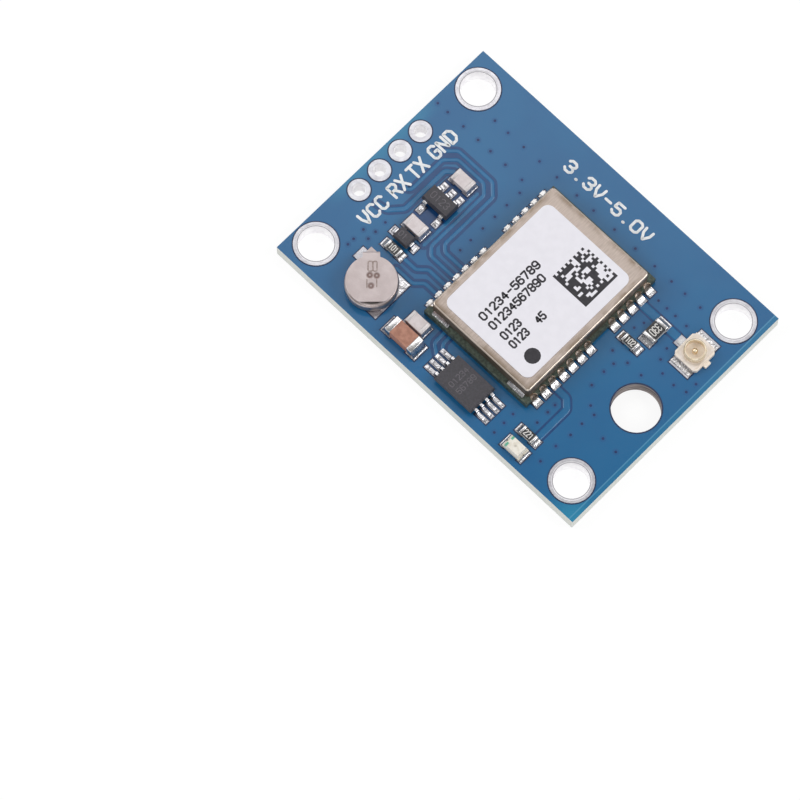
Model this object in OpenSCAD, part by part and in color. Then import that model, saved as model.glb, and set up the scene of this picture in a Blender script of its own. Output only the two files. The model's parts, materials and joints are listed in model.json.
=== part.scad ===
// Satellite positioning module: a circuit board with a shielded receiver, its
// supply parts, a backup cell, a status light and a coaxial antenna socket.
// Millimetres. The origin is the middle of the underside. +X runs from the
// header holes to the antenna socket, +Y across the board, +Z up.

/* [Board] */
// Length of the board along X
board_l = 35.4; // [31.8:0.1:44]
// Width of the board along Y
board_w = 25.6; // [23:0.1:34]
// Thickness of the laminate
board_t = 1.6; // [0.8:0.1:2.4]
// Thickness of the tinned pads on both faces
pad_t = 0.05; // [0.03:0.01:0.1]
// Wall of the tinned barrel in a hole
barrel_t = 0.16; // [0.15:0.01:0.19]
// Wall of the plating in an edge contact
contact_t = 0.06; // [0.03:0.01:0.1]

/* [Mounting holes] */
// Clear diameter of a mounting hole
mount_d = 3.2; // [2.2:0.1:3.6]
// Width of the tinned ring round a mounting hole
mount_ring_w = 0.4; // [0.2:0.05:0.5]
// Board edge beside the rings at the header end
mount_margin_header = 0.2; // [0.1:0.05:0.5]
// Board edge beside the rings at the socket end
mount_margin_socket = 0.6; // [0.1:0.05:0.8]
// Board edge beside the rings on the lower side
mount_margin_lower = 0.6; // [0.1:0.05:0.8]
// Board edge beside the rings on the upper side
mount_margin_upper = 0.9; // [0.1:0.05:1.2]

/* [Header holes] */
// Number of header holes
header_count = 4; // [2:1:6]
// Distance between header holes
header_pitch = 2.54; // [2.2:0.01:2.6]
// Clear diameter of a header hole
header_d = 1.1; // [0.8:0.05:1.3]
// Width of the tinned ring round a header hole
header_ring_w = 0.45; // [0.25:0.05:0.5]
// Board edge beside the header rings
header_margin = 0.37; // [0.2:0.01:0.6]
// Middle of the header row along Y
header_y = -0.25; // [-0.6:0.05:0.6]

/* [Cable hole] */
// Diameter of the bare hole for the antenna cable
cable_hole_d = 4.4; // [3:0.1:4.8]
// Board edge beside the cable hole
cable_hole_margin = 0.95; // [0.6:0.05:1.4]
// Place of the cable hole along Y
cable_hole_y = -1.65; // [-2:0.05:0]
// Bare laminate kept between the cable hole and a pad
cable_hole_rim = 0.08; // [0.05:0.01:0.3]

/* [Underside pads] */
// Length of an underside pad along X
back_pad_l = 7.1; // [5:0.1:8]
// Width of an underside pad along Y
back_pad_w = 4.0; // [3:0.1:4.5]
// Gap between the header rings and the pads beside them
back_pad_gap = 0.36; // [0.2:0.02:1]
// Board edge beside the pads at the socket end
back_pad_margin_socket = 2.73; // [2.2:0.01:3.5]
// Board edge beside the upper pads
back_pad_margin_upper = 5.95; // [5.2:0.05:6.4]
// Board edge beside the lower pad at the header end
back_pad_margin_header = 5.85; // [5:0.05:6.4]
// Board edge beside the lower pad at the socket end
back_pad_margin_lower = 4.85; // [4.75:0.05:5.2]

/* [Receiver board] */
// Place of the receiver along X
receiver_x = 1.73; // [1:0.01:1.9]
// Least gap between the receiver and the memory chip below it
receiver_memory_gap = 0.8; // [0.4:0.05:1.5]
// Least gap between the receiver and the capacitor below it
receiver_capacitor_gap = 0.525; // [0.3:0.005:1.5]
// Width of the receiver board along X
receiver_w = 12.2; // [10.5:0.1:13.8]
// Length of the receiver board along Y
receiver_l = 16.0; // [14:0.1:18]
// Thickness of the receiver board
receiver_t = 0.8; // [0.6:0.1:1.2]
// Contacts in the lower group of a long side
contact_lower = 7; // [5:1:7]
// Contacts in the upper group of a long side
contact_upper = 5; // [3:1:5]
// Distance between contacts in a group
contact_pitch = 1.1; // [0.95:0.05:1.2]
// Distance of the outer contacts from the ends of the receiver board
contact_end = 1.0; // [0.8:0.05:1.3]
// Clear radius of a half-round edge contact
contact_r = 0.3; // [0.2:0.05:0.35]
// Width of the pad under a contact
contact_pad_w = 0.8; // [0.7:0.05:0.85]
// How far a contact pad shows beyond the receiver board
contact_pad_reach = 0.57; // [0.45:0.01:0.65]
// Shift of all contact pads against the receiver board along X
contact_pad_shift = 0.12; // [0:0.01:0.15]
// How far a contact pad runs under the receiver board
contact_pad_tuck = 0.8; // [0.5:0.05:1.2]
// Height of the solder up a contact
contact_solder_rise = 0.35; // [0.2:0.05:0.6]

/* [Shield can] */
// Rim of the receiver board beside the can along X
shield_margin_x = 0.35; // [0.3:0.05:0.6]
// Rim of the receiver board beyond the can along Y
shield_margin_y = 0.5; // [0.45:0.05:0.8]
// Height of the can
shield_h = 1.6; // [1.2:0.1:2.2]
// Sheet thickness of the can
shield_wall = 0.2; // [0.1:0.05:0.25]
// Radius of the can's upright corners
shield_corner_r = 0.35; // [0.3:0.05:0.6]
// Radius of the can's drawn top edge
shield_edge_r = 0.2; // [0.1:0.05:0.25]
// Length of a soldered leg at each end of an end wall
shield_leg = 2.2; // [1.4:0.1:3]
// Height of the gap between the legs of an end wall
shield_gap_h = 0.2; // [0.1:0.05:0.4]
// Width of the notch over a contact
shield_notch_w = 0.7; // [0.5:0.05:0.8]
// Height of the notch over a contact
shield_notch_h = 0.35; // [0.2:0.05:0.6]
// Height and depth of the solder bead at a leg
shield_bead = 0.3; // [0.15:0.05:0.4]

/* [Label] */
// Bare metal beside the label along X
label_margin_x = 0.72; // [0.5:0.02:2]
// Bare metal beyond the label along Y
label_margin_y = 1.05; // [0.8:0.05:2]
// Shift of the label along Y
label_shift = -0.33; // [-0.4:0.01:0.4]
// Corner radius of the label
label_corner_r = 0.75; // [0.2:0.05:1.5]
// Thickness of the label
label_t = 0.08; // [0.05:0.01:0.15]

/* [Inside the can] */
// Side length of the receiver chip
chip_side = 6.0; // [4:0.1:7]
// Height of the receiver chip
chip_h = 0.85; // [0.6:0.05:0.95]
// Corner cut that marks the chip's first contact
chip_cut = 0.5; // [0.2:0.1:1]
// Length of the oscillator
oscillator_l = 2.5; // [2:0.1:3.2]
// Width of the oscillator
oscillator_w = 2.0; // [1.6:0.1:2.5]
// Height of the oscillator
oscillator_h = 0.8; // [0.6:0.05:0.95]
// Length of the antenna filter
antenna_filter_l = 1.4; // [1:0.1:2]
// Width of the antenna filter
antenna_filter_w = 1.1; // [0.8:0.1:1.6]
// Height of the antenna filter
antenna_filter_h = 0.6; // [0.4:0.05:0.9]

/* [Leaded packages] */
// Gap between a moulded body and the pads
body_standoff = 0.1; // [0.05:0.01:0.2]
// Inward slope of a moulded body's sides
body_draft = 0.09; // [0.03:0.01:0.15]
// Sheet thickness of the leads
lead_t = 0.15; // [0.1:0.01:0.18]
// Inner bend radius of the leads
lead_inner_r = 0.045; // [0.02:0.005:0.06]
// Turn of a lead from its shoulder to its slope
lead_angle = 80; // [70:1:88]

/* [Regulator] */
// Place of the supply column along X
column_x = -10.32; // [-10.6:0.02:-9.8]
// Gap between the output capacitor and the regulator's pads
regulator_gap = 0.52; // [0.2:0.02:0.8]
// Length of the regulator body along X
regulator_l = 2.9; // [2.6:0.05:3.2]
// Width of the regulator body along Y
regulator_w = 1.6; // [1.4:0.05:1.8]
// Height of the regulator body
regulator_h = 1.1; // [0.9:0.05:1.3]
// Distance between regulator leads
regulator_pitch = 0.95; // [0.8:0.05:1]
// Width of a regulator lead
regulator_lead_w = 0.4; // [0.3:0.05:0.5]
// Length of a regulator lead's shoulder
regulator_shoulder = 0.1; // [0.05:0.01:0.2]
// Length of a regulator lead's foot
regulator_foot = 0.2; // [0.1:0.02:0.4]
// Width of a regulator pad
regulator_pad_w = 0.58; // [0.52:0.02:0.7]
// Pad length in front of a regulator lead
regulator_pad_toe = 0.43; // [0.25:0.01:0.5]

/* [Diode] */
// Gap between the charge resistor and the diode
diode_gap = 0.28; // [0.15:0.01:0.6]
// Length of the diode body along X
diode_l = 1.7; // [1.5:0.05:1.9]
// Width of the diode body along Y
diode_w = 1.25; // [1.1:0.05:1.4]
// Height of the diode body
diode_h = 0.85; // [0.7:0.05:1]
// Width of a diode lead
diode_lead_w = 0.45; // [0.25:0.05:0.6]
// Length of a diode lead's shoulder
diode_shoulder = 0.05; // [0.03:0.01:0.1]
// Length of a diode lead's foot
diode_foot = 0.07; // [0.05:0.01:0.2]
// Width of a diode pad
diode_pad_w = 0.8; // [0.65:0.05:1]
// Pad length in front of a diode lead
diode_pad_toe = 0.25; // [0.15:0.01:0.4]

/* [Memory chip] */
// Place of the memory chip along X
memory_x = 2.7; // [2.4:0.05:3]
// Board edge below the memory body
memory_margin = 0.78; // [0.5:0.02:1.2]
// Length of the memory body along X
memory_l = 4.4; // [4.2:0.05:4.8]
// Width of the memory body along Y
memory_w = 3.0; // [2.9:0.05:3.3]
// Height of the memory body
memory_h = 0.9; // [0.8:0.05:1.1]
// Leads on each end of the memory chip
memory_leads_per_end = 4; // [2:1:4]
// Distance between memory leads
memory_pitch = 0.65; // [0.6:0.01:0.7]
// Width of a memory lead
memory_lead_w = 0.26; // [0.2:0.02:0.34]
// Length of a memory lead's shoulder
memory_shoulder = 0.2; // [0.1:0.02:0.3]
// Length of a memory lead's foot
memory_foot = 0.515; // [0.3:0.005:0.6]
// Width of a memory pad
memory_pad_w = 0.42; // [0.36:0.02:0.5]
// Pad length in front of a memory lead
memory_pad_toe = 0.5; // [0.2:0.02:0.6]

/* [Backup cell] */
// Gap between the pads of the cell and of the bulk capacitor
cell_gap = 0.98; // [0.5:0.02:1.2]
// Board edge below the cell
cell_margin = 0.82; // [0.5:0.02:1]
// Diameter of the cell
cell_d = 4.75; // [4.3:0.05:4.85]
// Height of the cell's can
cell_h = 1.2; // [0.9:0.05:1.8]
// Radius of the crimped top edge
cell_crimp_r = 0.3; // [0.15:0.05:0.4]
// Radius of the bottom edge
cell_base_r = 0.15; // [0.05:0.05:0.3]
// Width of the gasket ring
cell_gasket_w = 0.14; // [0.08:0.02:0.3]
// Depth to which gasket and cap sit in the can
cell_seat = 0.25; // [0.15:0.05:0.4]
// Height of the cap above the can
cell_cap_rise = 0.12; // [0.08:0.02:0.3]
// Sheet thickness of the cell's tabs
cell_tab_t = 0.13; // [0.08:0.01:0.18]
// Diameter of the welded top plate
cell_plate_d = 4.5; // [3.8:0.1:4.6]
// Distance of the plate's straight side from its middle
cell_plate_flat = 1.95; // [1.6:0.05:2.1]
// Direction in which the top tab leaves the cell
cell_tab_angle = 135; // [130:1:145]
// Width of the top tab
cell_tab_w = 1.5; // [1.2:0.05:1.7]
// Gap between the can and the bent top tab
cell_tab_gap = 0.06; // [0.04:0.02:0.12]
// Straight length of the top tab's foot before its point
cell_foot_lead = 0.05; // [0.03:0.01:0.1]
// Width of the bottom tab along Y
cell_bottom_w = 3.35; // [2.4:0.05:3.5]
// Shift of the bottom tab along Y
cell_bottom_shift = 0.63; // [0.2:0.01:0.7]
// Reach of the bottom tab beyond the cell's middle along X
cell_bottom_reach = 2.28; // [2.1:0.02:2.3]
// Reach of the bottom tab behind the cell's middle along X
cell_bottom_tuck = 0.6; // [0.2:0.1:0.8]
// Width of the bottom tab's pad
cell_pad_w = 4.3; // [3.6:0.1:4.4]
// Shift of the bottom tab's pad along Y
cell_pad_shift = 0.25; // [0.1:0.01:0.3]
// Width of the top tab's pad
foot_pad_w = 1.22; // [1:0.02:1.3]
// Shift of the top tab's pad along Y
foot_pad_shift = 1.48; // [1.4:0.02:1.55]
// Reach of the top tab's pad from the cell's middle along X
foot_pad_reach = 3.08; // [2.7:0.02:3.2]
// Least gap between the top tab's pad and a mounting ring
foot_pad_clear = 0.1; // [0.05:0.01:0.5]

/* [Bulk capacitor] */
// Gap between the pads of the bulk capacitor and of the memory chip
bulk_gap = 0.97; // [0.4:0.01:1.2]
// Board edge below the bulk capacitor
bulk_margin = 0.95; // [0.5:0.05:1.2]
// Length of the bulk capacitor
bulk_l = 3.2; // [2.9:0.05:3.3]
// Width of the bulk capacitor
bulk_w = 1.6; // [1.4:0.05:1.7]
// Height of the bulk capacitor
bulk_h = 1.25; // [0.8:0.05:1.6]
// Length of a bulk capacitor end
bulk_end = 0.6; // [0.3:0.05:0.8]

/* [Small capacitors] */
// Length of a small capacitor
ceramic_l = 2.0; // [1.8:0.05:2.2]
// Width of a small capacitor
ceramic_w = 1.25; // [1.1:0.05:1.3]
// Height of a small capacitor
ceramic_h = 0.85; // [0.6:0.05:1.25]
// Length of a small capacitor end
ceramic_end = 0.42; // [0.25:0.01:0.55]
// Gap between the regulator's pads and the input capacitor
input_gap = 0.39; // [0.15:0.01:0.8]
// Gap between the diode and the output capacitor
output_gap = 0.21; // [0.12:0.01:0.6]
// Gap between the bulk capacitor and the memory chip's capacitor
memory_capacitor_gap = 0.255; // [0.15:0.005:0.5]

/* [Resistors] */
// Length of a small resistor
resistor_l = 1.6; // [1.4:0.05:1.7]
// Width of a small resistor
resistor_w = 0.8; // [0.6:0.05:0.9]
// Height of a small resistor
resistor_h = 0.45; // [0.3:0.05:0.6]
// Length of a small resistor end
resistor_end = 0.3; // [0.2:0.02:0.4]
// Length of the filter resistor along Y
filter_l = 2.0; // [1.8:0.05:2.2]
// Width of the filter resistor along X
filter_w = 1.25; // [1.1:0.05:1.4]
// Height of the filter resistor
filter_h = 0.55; // [0.4:0.05:0.7]
// Length of a filter resistor end
filter_end = 0.4; // [0.25:0.05:0.6]
// Thickness of a resistor's dark coat
coat_t = 0.07; // [0.06:0.01:0.1]
// Gap between the cell and the charge resistor
charge_gap = 0.92; // [0.4:0.02:1.2]
// Place of the filter resistor between the receiver's pads and the socket's pad
filter_share = 0.58; // [0.45:0.01:0.6]
// Drop of the filter resistor below the socket's middle
filter_drop = 0.92; // [0:0.02:1.2]
// Gap between the pads of the receiver and of the bias resistor
bias_gap_x = 0.39; // [0.2:0.01:0.8]
// Gap between the pads of the filter resistor and the bias resistor
bias_gap_y = 0.4; // [0.15:0.02:0.8]

/* [Chip ends and solder] */
// Thickness of the metal on a chip part's ends
end_t = 0.04; // [0.02:0.01:0.05]
// Reach of a pad beyond a chip part's end
chip_pad_reach = 0.43; // [0.25:0.01:0.45]
// Reach of a pad beyond a small capacitor's end
ceramic_pad_reach = 0.18; // [0.14:0.01:0.4]
// Reach of a pad beyond the status light's end
light_pad_reach = 0.25; // [0.15:0.01:0.4]
// Reach of a pad beside a chip part
chip_pad_side = 0.04; // [0.02:0.01:0.1]
// Reach of a pad under a chip part past its end metal
chip_pad_tuck = 0.08; // [0.04:0.01:0.15]
// Share of a chip part's height that the solder climbs
solder_climb = 0.62; // [0.3:0.02:0.9]
// Bare rim of a pad round its solder
solder_rim = 0.04; // [0.02:0.01:0.08]
// Thickness of the solder at its thin edge
solder_toe = 0.05; // [0.03:0.01:0.1]

/* [Status light] */
// Gap between the pads of the memory chip and of the status light
light_gap = 2.05; // [0.8:0.01:2.1]
// Board edge below the status light
light_margin = 0.675; // [0.4:0.005:1]
// Gap between the status light and its resistor
light_resistor_gap = 0.575; // [0.2:0.005:1]
// Length of the status light
light_l = 2.0; // [1.8:0.05:2.2]
// Width of the status light
light_w = 1.25; // [1.1:0.05:1.35]
// Thickness of the light's base
light_base_t = 0.32; // [0.25:0.01:0.5]
// Height of the lens above the base
light_lens_h = 0.5; // [0.3:0.05:0.9]
// Inward slope of the lens at its top
light_lens_draft = 0.1; // [0.04:0.02:0.2]
// Length of a terminal of the light
light_end = 0.15; // [0.15:0.05:0.4]
// Radius of the half-round notch in a terminal
light_notch_r = 0.1; // [0.06:0.01:0.12]

/* [Antenna socket] */
// Board edge beside the socket's base
socket_margin = 1.65; // [1:0.05:1.8]
// Gap between the socket's pads and the upper mounting ring
socket_gap = 0.47; // [0.2:0.01:1]
// Side length of the socket's base
socket_side = 2.6; // [2.4:0.05:2.8]
// Height of the base
socket_base_h = 0.5; // [0.35:0.05:0.7]
// Corner cut of the base
socket_base_cut = 0.22; // [0.1:0.02:0.24]
// Length of the small lug behind the base
socket_lug_l = 0.32; // [0.2:0.02:0.4]
// Width of the small lug
socket_lug_w = 0.65; // [0.4:0.05:1]
// Height of the small lug
socket_lug_h = 0.3; // [0.15:0.05:0.34]
// Outer radius of the barrel
barrel_r = 1.0; // [0.9:0.05:1.1]
// Wall of the barrel
barrel_wall = 0.16; // [0.1:0.02:0.25]
// Height of the barrel above the ground plate
barrel_h = 0.65; // [0.55:0.05:1.1]
// Bevel on the barrel's upper edge
barrel_bevel = 0.07; // [0.03:0.01:0.1]
// Radius of the round snap groove
groove_r = 0.07; // [0.03:0.01:0.09]
// Height of the snap groove above the ground plate
groove_z = 0.32; // [0.2:0.01:0.36]
// Sheet thickness of the socket's metal
socket_sheet = 0.1; // [0.06:0.01:0.15]
// Width of the ground plate on each side of the barrel
ground_rim = 0.1; // [0.05:0.01:0.2]
// Length of a ground foot
ground_foot = 0.45; // [0.3:0.05:0.55]
// Width of the signal foot
signal_foot_w = 0.6; // [0.4:0.05:0.8]
// Length of the signal foot beyond the base
signal_foot = 0.5; // [0.3:0.05:0.6]
// Radius of the middle pin
pin_r = 0.24; // [0.15:0.01:0.3]
// Height of the middle pin above the base
pin_h = 0.6; // [0.3:0.05:0.9]
// Rim of a socket pad beyond its foot
socket_pad_rim = 0.2; // [0.1:0.02:0.25]
// Reach of a ground pad under the base
socket_pad_tuck = 0.5; // [0.2:0.05:0.6]

/* [Hidden] */
$fn = 64;

// Overshoot of every cut past the solid it cuts
cut = 0.5;
// Steps in a drawn bend or fillet
bend_steps = 5;
// Sides of a corner post that is stretched over the can
post_sides = 32;
// Height of a slice that ends a drafted body
slice = 0.01;

// Heights of the stack, from the underside up
z_board = pad_t;
z_top = z_board + board_t;
z_pad = z_top + pad_t;
z_receiver = z_pad + receiver_t;
z_shield = z_receiver + shield_h;

// Edges of the board
header_edge = -board_l / 2;
socket_edge = board_l / 2;
lower_edge = -board_w / 2;
upper_edge = board_w / 2;

// Reach of a lead from its body to its toe
lead_bend_r = lead_inner_r + lead_t / 2;
function lead_reach(body_h, shoulder, foot) =
    second_bend(shoulder, shoulder_z(body_h) - lead_t / 2, lead_bend_r, lead_angle)[0] + foot;
regulator_reach = lead_reach(regulator_h, regulator_shoulder, regulator_foot);
diode_reach = lead_reach(diode_h, diode_shoulder, diode_foot);
memory_reach = lead_reach(memory_h, memory_shoulder, memory_foot);

// Rings and holes
mount_ring_d = mount_d + 2 * mount_ring_w;
header_ring_d = header_d + 2 * header_ring_w;
mount_x = [header_edge + mount_margin_header + mount_ring_d / 2,
    socket_edge - mount_margin_socket - mount_ring_d / 2];
mount_y = [lower_edge + mount_margin_lower + mount_ring_d / 2,
    upper_edge - mount_margin_upper - mount_ring_d / 2];
header_x = header_edge + header_margin + header_ring_d / 2;
header_first_y = header_y - (header_count - 1) * header_pitch / 2;
cable_hole_x = socket_edge - cable_hole_margin - cable_hole_d / 2;
back_pad_x = [header_x + header_ring_d / 2 + back_pad_gap + back_pad_l / 2,
    socket_edge - back_pad_margin_socket - back_pad_l / 2];
back_pad_upper_y = upper_edge - back_pad_margin_upper - back_pad_w / 2;
back_pad_lower_y = [lower_edge + back_pad_margin_header + back_pad_w / 2,
    lower_edge + back_pad_margin_lower + back_pad_w / 2];

// Lower row, from the memory chip toward both ends
memory_pad_end = memory_l / 2 + memory_reach + memory_pad_toe;
memory_at = [memory_x, lower_edge + memory_margin + memory_w / 2];
bulk_pad_end = bulk_l / 2 + chip_pad_reach;
bulk_at = [memory_x - memory_pad_end - bulk_gap - bulk_pad_end,
    lower_edge + bulk_margin + bulk_w / 2];
memory_capacitor_at = [bulk_at[0],
    bulk_at[1] + (bulk_w + ceramic_w) / 2 + memory_capacitor_gap];
cell_at = [bulk_at[0] - bulk_pad_end - cell_gap - cell_bottom_reach - solder_rim,
    lower_edge + cell_margin + cell_d / 2];
light_at = [memory_x + memory_pad_end + light_gap + light_pad_reach + light_l / 2,
    lower_edge + light_margin + light_w / 2];
light_resistor_at = [light_at[0],
    light_at[1] + (light_w + resistor_w) / 2 + light_resistor_gap];

// Supply column, from the cell upward
regulator_pad_end = regulator_w / 2 + regulator_reach + regulator_pad_toe;
charge_at = [column_x, cell_at[1] + (cell_d + resistor_w) / 2 + charge_gap];
diode_at = [column_x, charge_at[1] + (resistor_w + diode_w) / 2 + diode_gap];
output_at = [column_x, diode_at[1] + (diode_w + ceramic_w) / 2 + output_gap];
regulator_at = [column_x, output_at[1] + ceramic_w / 2 + regulator_gap + regulator_pad_end];
input_at = [column_x, regulator_at[1] + regulator_pad_end + input_gap + ceramic_w / 2];

// Receiver above the lower row
receiver_low = max(memory_at[1] + memory_w / 2 + receiver_memory_gap,
    memory_capacitor_at[1] + ceramic_w / 2 + receiver_capacitor_gap);
receiver_at = [receiver_x, receiver_low + receiver_l / 2];
receiver_pad_end = receiver_x + receiver_w / 2 + contact_show(1);

// Socket below the upper mounting hole, and the resistors beside it
ground_leg_w = 2 * (barrel_r + ground_rim);
socket_pad_end = socket_side / 2 + socket_sheet + ground_foot + socket_pad_rim;
socket_at = [socket_edge - socket_margin - socket_side / 2,
    mount_y[1] - mount_ring_d / 2 - socket_gap - socket_pad_end];
signal_pad_end = socket_at[0] - socket_side / 2 - signal_foot - socket_pad_rim;
filter_at = [receiver_pad_end + filter_share * (signal_pad_end - receiver_pad_end),
    socket_at[1] - filter_drop];
bias_at = [receiver_pad_end + bias_gap_x + chip_pad_reach + resistor_l / 2,
    filter_at[1] - filter_l / 2 - chip_pad_reach - bias_gap_y - resistor_w / 2];

// Edge contacts of the receiver, counted from the lower end
contact_count = contact_lower + contact_upper;
contact_wall_r = contact_r + contact_t;
function contact_show(side) = contact_pad_reach + side * contact_pad_shift;
function contact_y(i) = i < contact_lower
    ? contact_end - receiver_l / 2 + i * contact_pitch
    : receiver_l / 2 - contact_end - (contact_count - 1 - i) * contact_pitch;

// Can and label
shield_w = receiver_w - 2 * shield_margin_x;
shield_l = receiver_l - 2 * shield_margin_y;
shield_inner_r = shield_corner_r - shield_wall;
label_w = shield_w - 2 * label_margin_x;
label_l = shield_l - 2 * label_margin_y;

// Parts inside the can, from the middle of the receiver
chip_at = [-1.2, 2.2];
oscillator_at = [2.4, -4.2];
antenna_filter_at = [3.6, 5.4];
oscillator_lid_inset = 0.12;
oscillator_base_share = 0.6;

// Backup cell
cell_r = cell_d / 2;
gasket_r = cell_r - cell_crimp_r;
cap_r = gasket_r - cell_gasket_w;
cap_edge_r = 0.06;
gasket_sink = 0.03;
z_cell = z_pad + cell_tab_t;
z_cell_cap = z_cell + cell_h + cell_cap_rise;
cell_tab_bend_r = 0.15;
cell_tab_turn = 88;
foot_pad_l = 1.2;
foot_pad_start = max(-foot_pad_reach,
    mount_x[0] + mount_ring_d / 2 + foot_pad_clear - cell_at[0]);

// Mid height of the shoulder of a package's leads above the pads
function shoulder_z(body_h) = body_standoff + body_h / 2;

// Points on an arc round c, its angle measured from +Y toward +X
function arc_points(c, r, a0, a1) = [for (k = [0:bend_steps])
    let (a = a0 + (a1 - a0) * k / bend_steps) c + r * [sin(a), cos(a)]];

// Slope length of a lead that falls by drop with two equal bends
function slope_run(drop, r, turn) = (drop - 2 * r * (1 - cos(turn))) / sin(turn);

// Middle of a lead's second bend
function second_bend(shoulder, drop, r, turn) =
    [shoulder + 2 * r * sin(turn) + slope_run(drop, r, turn) * cos(turn), r - drop];

// One side of a lead: off is the distance from its middle line
function lead_side(shoulder, drop, reach, r, turn, off) = concat(
    [[0, off]],
    arc_points([shoulder, -r], r + off, 0, turn),
    arc_points(second_bend(shoulder, drop, r, turn), off - r, turn, 0),
    [[reach, off - drop]]);

// Points of a list from the last to the first
function reversed(list) = [for (k = [len(list) - 1:-1:0]) list[k]];

// Outline of a gull-wing lead: shoulder, bend, slope, bend and foot
function gull_wing(shoulder, drop, reach, r, turn, t) = concat(
    lead_side(shoulder, drop, reach, r, turn, t / 2),
    reversed(lead_side(shoulder, drop, reach, r, turn, -t / 2)));

// Outline of a hollow solder fillet, l long, that climbs to rise at x = 0
function fillet(l, rise) = concat(
    [[0, 0], [l, 0]],
    [for (k = [0:bend_steps]) let (u = k / bend_steps)
        [l * (1 - u), solder_toe + (rise - solder_toe) * u * u]]);

module at(p, z = 0) {
    translate([p[0], p[1], z])
        children();
}

// Plate centred in X and Y that stands on z = 0
module slab(l, w, t) {
    translate([-l / 2, -w / 2, 0])
        cube([l, w, t]);
}

// Plate from x0 to x1, centred in Y, that stands on z = 0
module strip(x0, x1, w, t) {
    translate([x0, -w / 2, 0])
        cube([x1 - x0, w, t]);
}

// Outline in X and Z, drawn out along Y about its middle
module upright(w) {
    rotate([90, 0, 0])
        linear_extrude(height = w, center = true)
            children();
}

// Copies toward +X and toward -X
module both_ends() {
    children();
    rotate([0, 0, 180])
        children();
}

module rounded_slab(l, w, t, r) {
    linear_extrude(height = t) {
        square([l - 2 * r, w], center = true);
        square([l, w - 2 * r], center = true);
        for (x = [-1, 1], y = [-1, 1])
            translate([x * (l / 2 - r), y * (w / 2 - r)])
                circle(r = r);
    }
}

// Moulded body whose sides slope in above and below the leads
module moulded_body(l, w, h) {
    hull() {
        slab(l - 2 * body_draft, w - 2 * body_draft, slice);
        translate([0, 0, (h - lead_t) / 2])
            slab(l, w, lead_t);
        translate([0, 0, h - slice])
            slab(l - 2 * body_draft, w - 2 * body_draft, slice);
    }
}

// One lead that leaves a body face at the origin toward +X
module gull_lead(reach, body_h, w, shoulder) {
    translate([0, 0, shoulder_z(body_h)])
        upright(w)
            polygon(gull_wing(shoulder, shoulder_z(body_h) - lead_t / 2, reach,
                lead_bend_r, lead_angle, lead_t));
}

// Solder from a lead's toe to the end of its pad
module toe_solder(toe, w) {
    upright(w)
        polygon(fillet(toe - solder_rim, lead_t));
}

// Places in each hole pattern
module at_mounting_holes() {
    for (x = mount_x, y = mount_y)
        translate([x, y, 0])
            children();
}

module at_header_holes() {
    for (i = [0:header_count - 1])
        translate([header_x, header_first_y + i * header_pitch, 0])
            children();
}

// Places along a long edge of the receiver, turned to face outward
module at_contacts(side) {
    at(receiver_at)
        for (i = [0:contact_count - 1])
            translate([side * receiver_w / 2, contact_y(i), 0])
                rotate([0, 0, side > 0 ? 0 : 180])
                    children();
}

module at_edge_contacts() {
    for (side = [-1, 1])
        at_contacts(side)
            children();
}

module at_regulator_leads() {
    at(regulator_at) {
        for (i = [-1, 0, 1])
            translate([i * regulator_pitch, regulator_w / 2, 0])
                rotate([0, 0, 90])
                    children();
        for (i = [-1, 1])
            translate([i * regulator_pitch, -regulator_w / 2, 0])
                rotate([0, 0, -90])
                    children();
    }
}

module at_diode_leads() {
    at(diode_at)
        both_ends()
            translate([diode_l / 2, 0, 0])
                children();
}

module at_memory_leads() {
    at(memory_at)
        both_ends()
            for (i = [0:memory_leads_per_end - 1])
                translate([memory_l / 2, (i - (memory_leads_per_end - 1) / 2) * memory_pitch, 0])
                    children();
}

module through_hole(d) {
    translate([0, 0, z_board - cut])
        cylinder(d = d, h = board_t + 2 * cut);
}

// Plated barrel with a ring on both faces
module plated_hole(d, ring_d) {
    rotate_extrude()
        polygon([[d / 2, 0], [ring_d / 2, 0], [ring_d / 2, z_board], [d / 2 + barrel_t, z_board],
            [d / 2 + barrel_t, z_top], [ring_d / 2, z_top], [ring_d / 2, z_pad], [d / 2, z_pad]]);
}

// Chip capacitor: its ceramic sits inside two metal cups
module ceramic_core(l, w, h) {
    translate([0, 0, end_t])
        slab(l - 2 * end_t, w - 2 * end_t, h - 2 * end_t);
}

module cup_ends(l, w, h, end) {
    difference() {
        both_ends()
            strip(l / 2 - end, l / 2, w, h);
        ceramic_core(l, w, h);
    }
}

// Chip resistor: its alumina lies between two folded ends
module alumina_core(l, w, h) {
    translate([0, 0, end_t])
        slab(l - 2 * end_t, w, h - 2 * end_t);
}

module folded_ends(l, w, h, end) {
    both_ends()
        upright(w)
            polygon([[l / 2 - end, 0], [l / 2, 0], [l / 2, h], [l / 2 - end, h],
                [l / 2 - end, h - end_t], [l / 2 - end_t, h - end_t], [l / 2 - end_t, end_t],
                [l / 2 - end, end_t]]);
}

module resistor_coat(l, w, h, end) {
    translate([0, 0, h - end_t])
        slab(l - 2 * end, w, coat_t);
}

// Pads and solder of a part with two ends
module chip_pads(l, w, end, reach = chip_pad_reach) {
    both_ends()
        strip(l / 2 - end - chip_pad_tuck, l / 2 + reach, w + 2 * chip_pad_side, pad_t);
}

module chip_solder(l, w, h, reach = chip_pad_reach) {
    both_ends()
        translate([l / 2, 0, 0])
            upright(w - 2 * solder_rim)
                polygon(fillet(reach - solder_rim, h * solder_climb));
}

module at_filter() {
    at(filter_at)
        rotate([0, 0, 90])
            children();
}

module board() {
    color("#2b6496")
        difference() {
            translate([0, 0, z_board])
                slab(board_l, board_w, board_t);
            at_mounting_holes()
                through_hole(mount_d + 2 * barrel_t);
            at_header_holes()
                through_hole(header_d + 2 * barrel_t);
            at([cable_hole_x, cable_hole_y])
                through_hole(cable_hole_d);
        }
}

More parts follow.
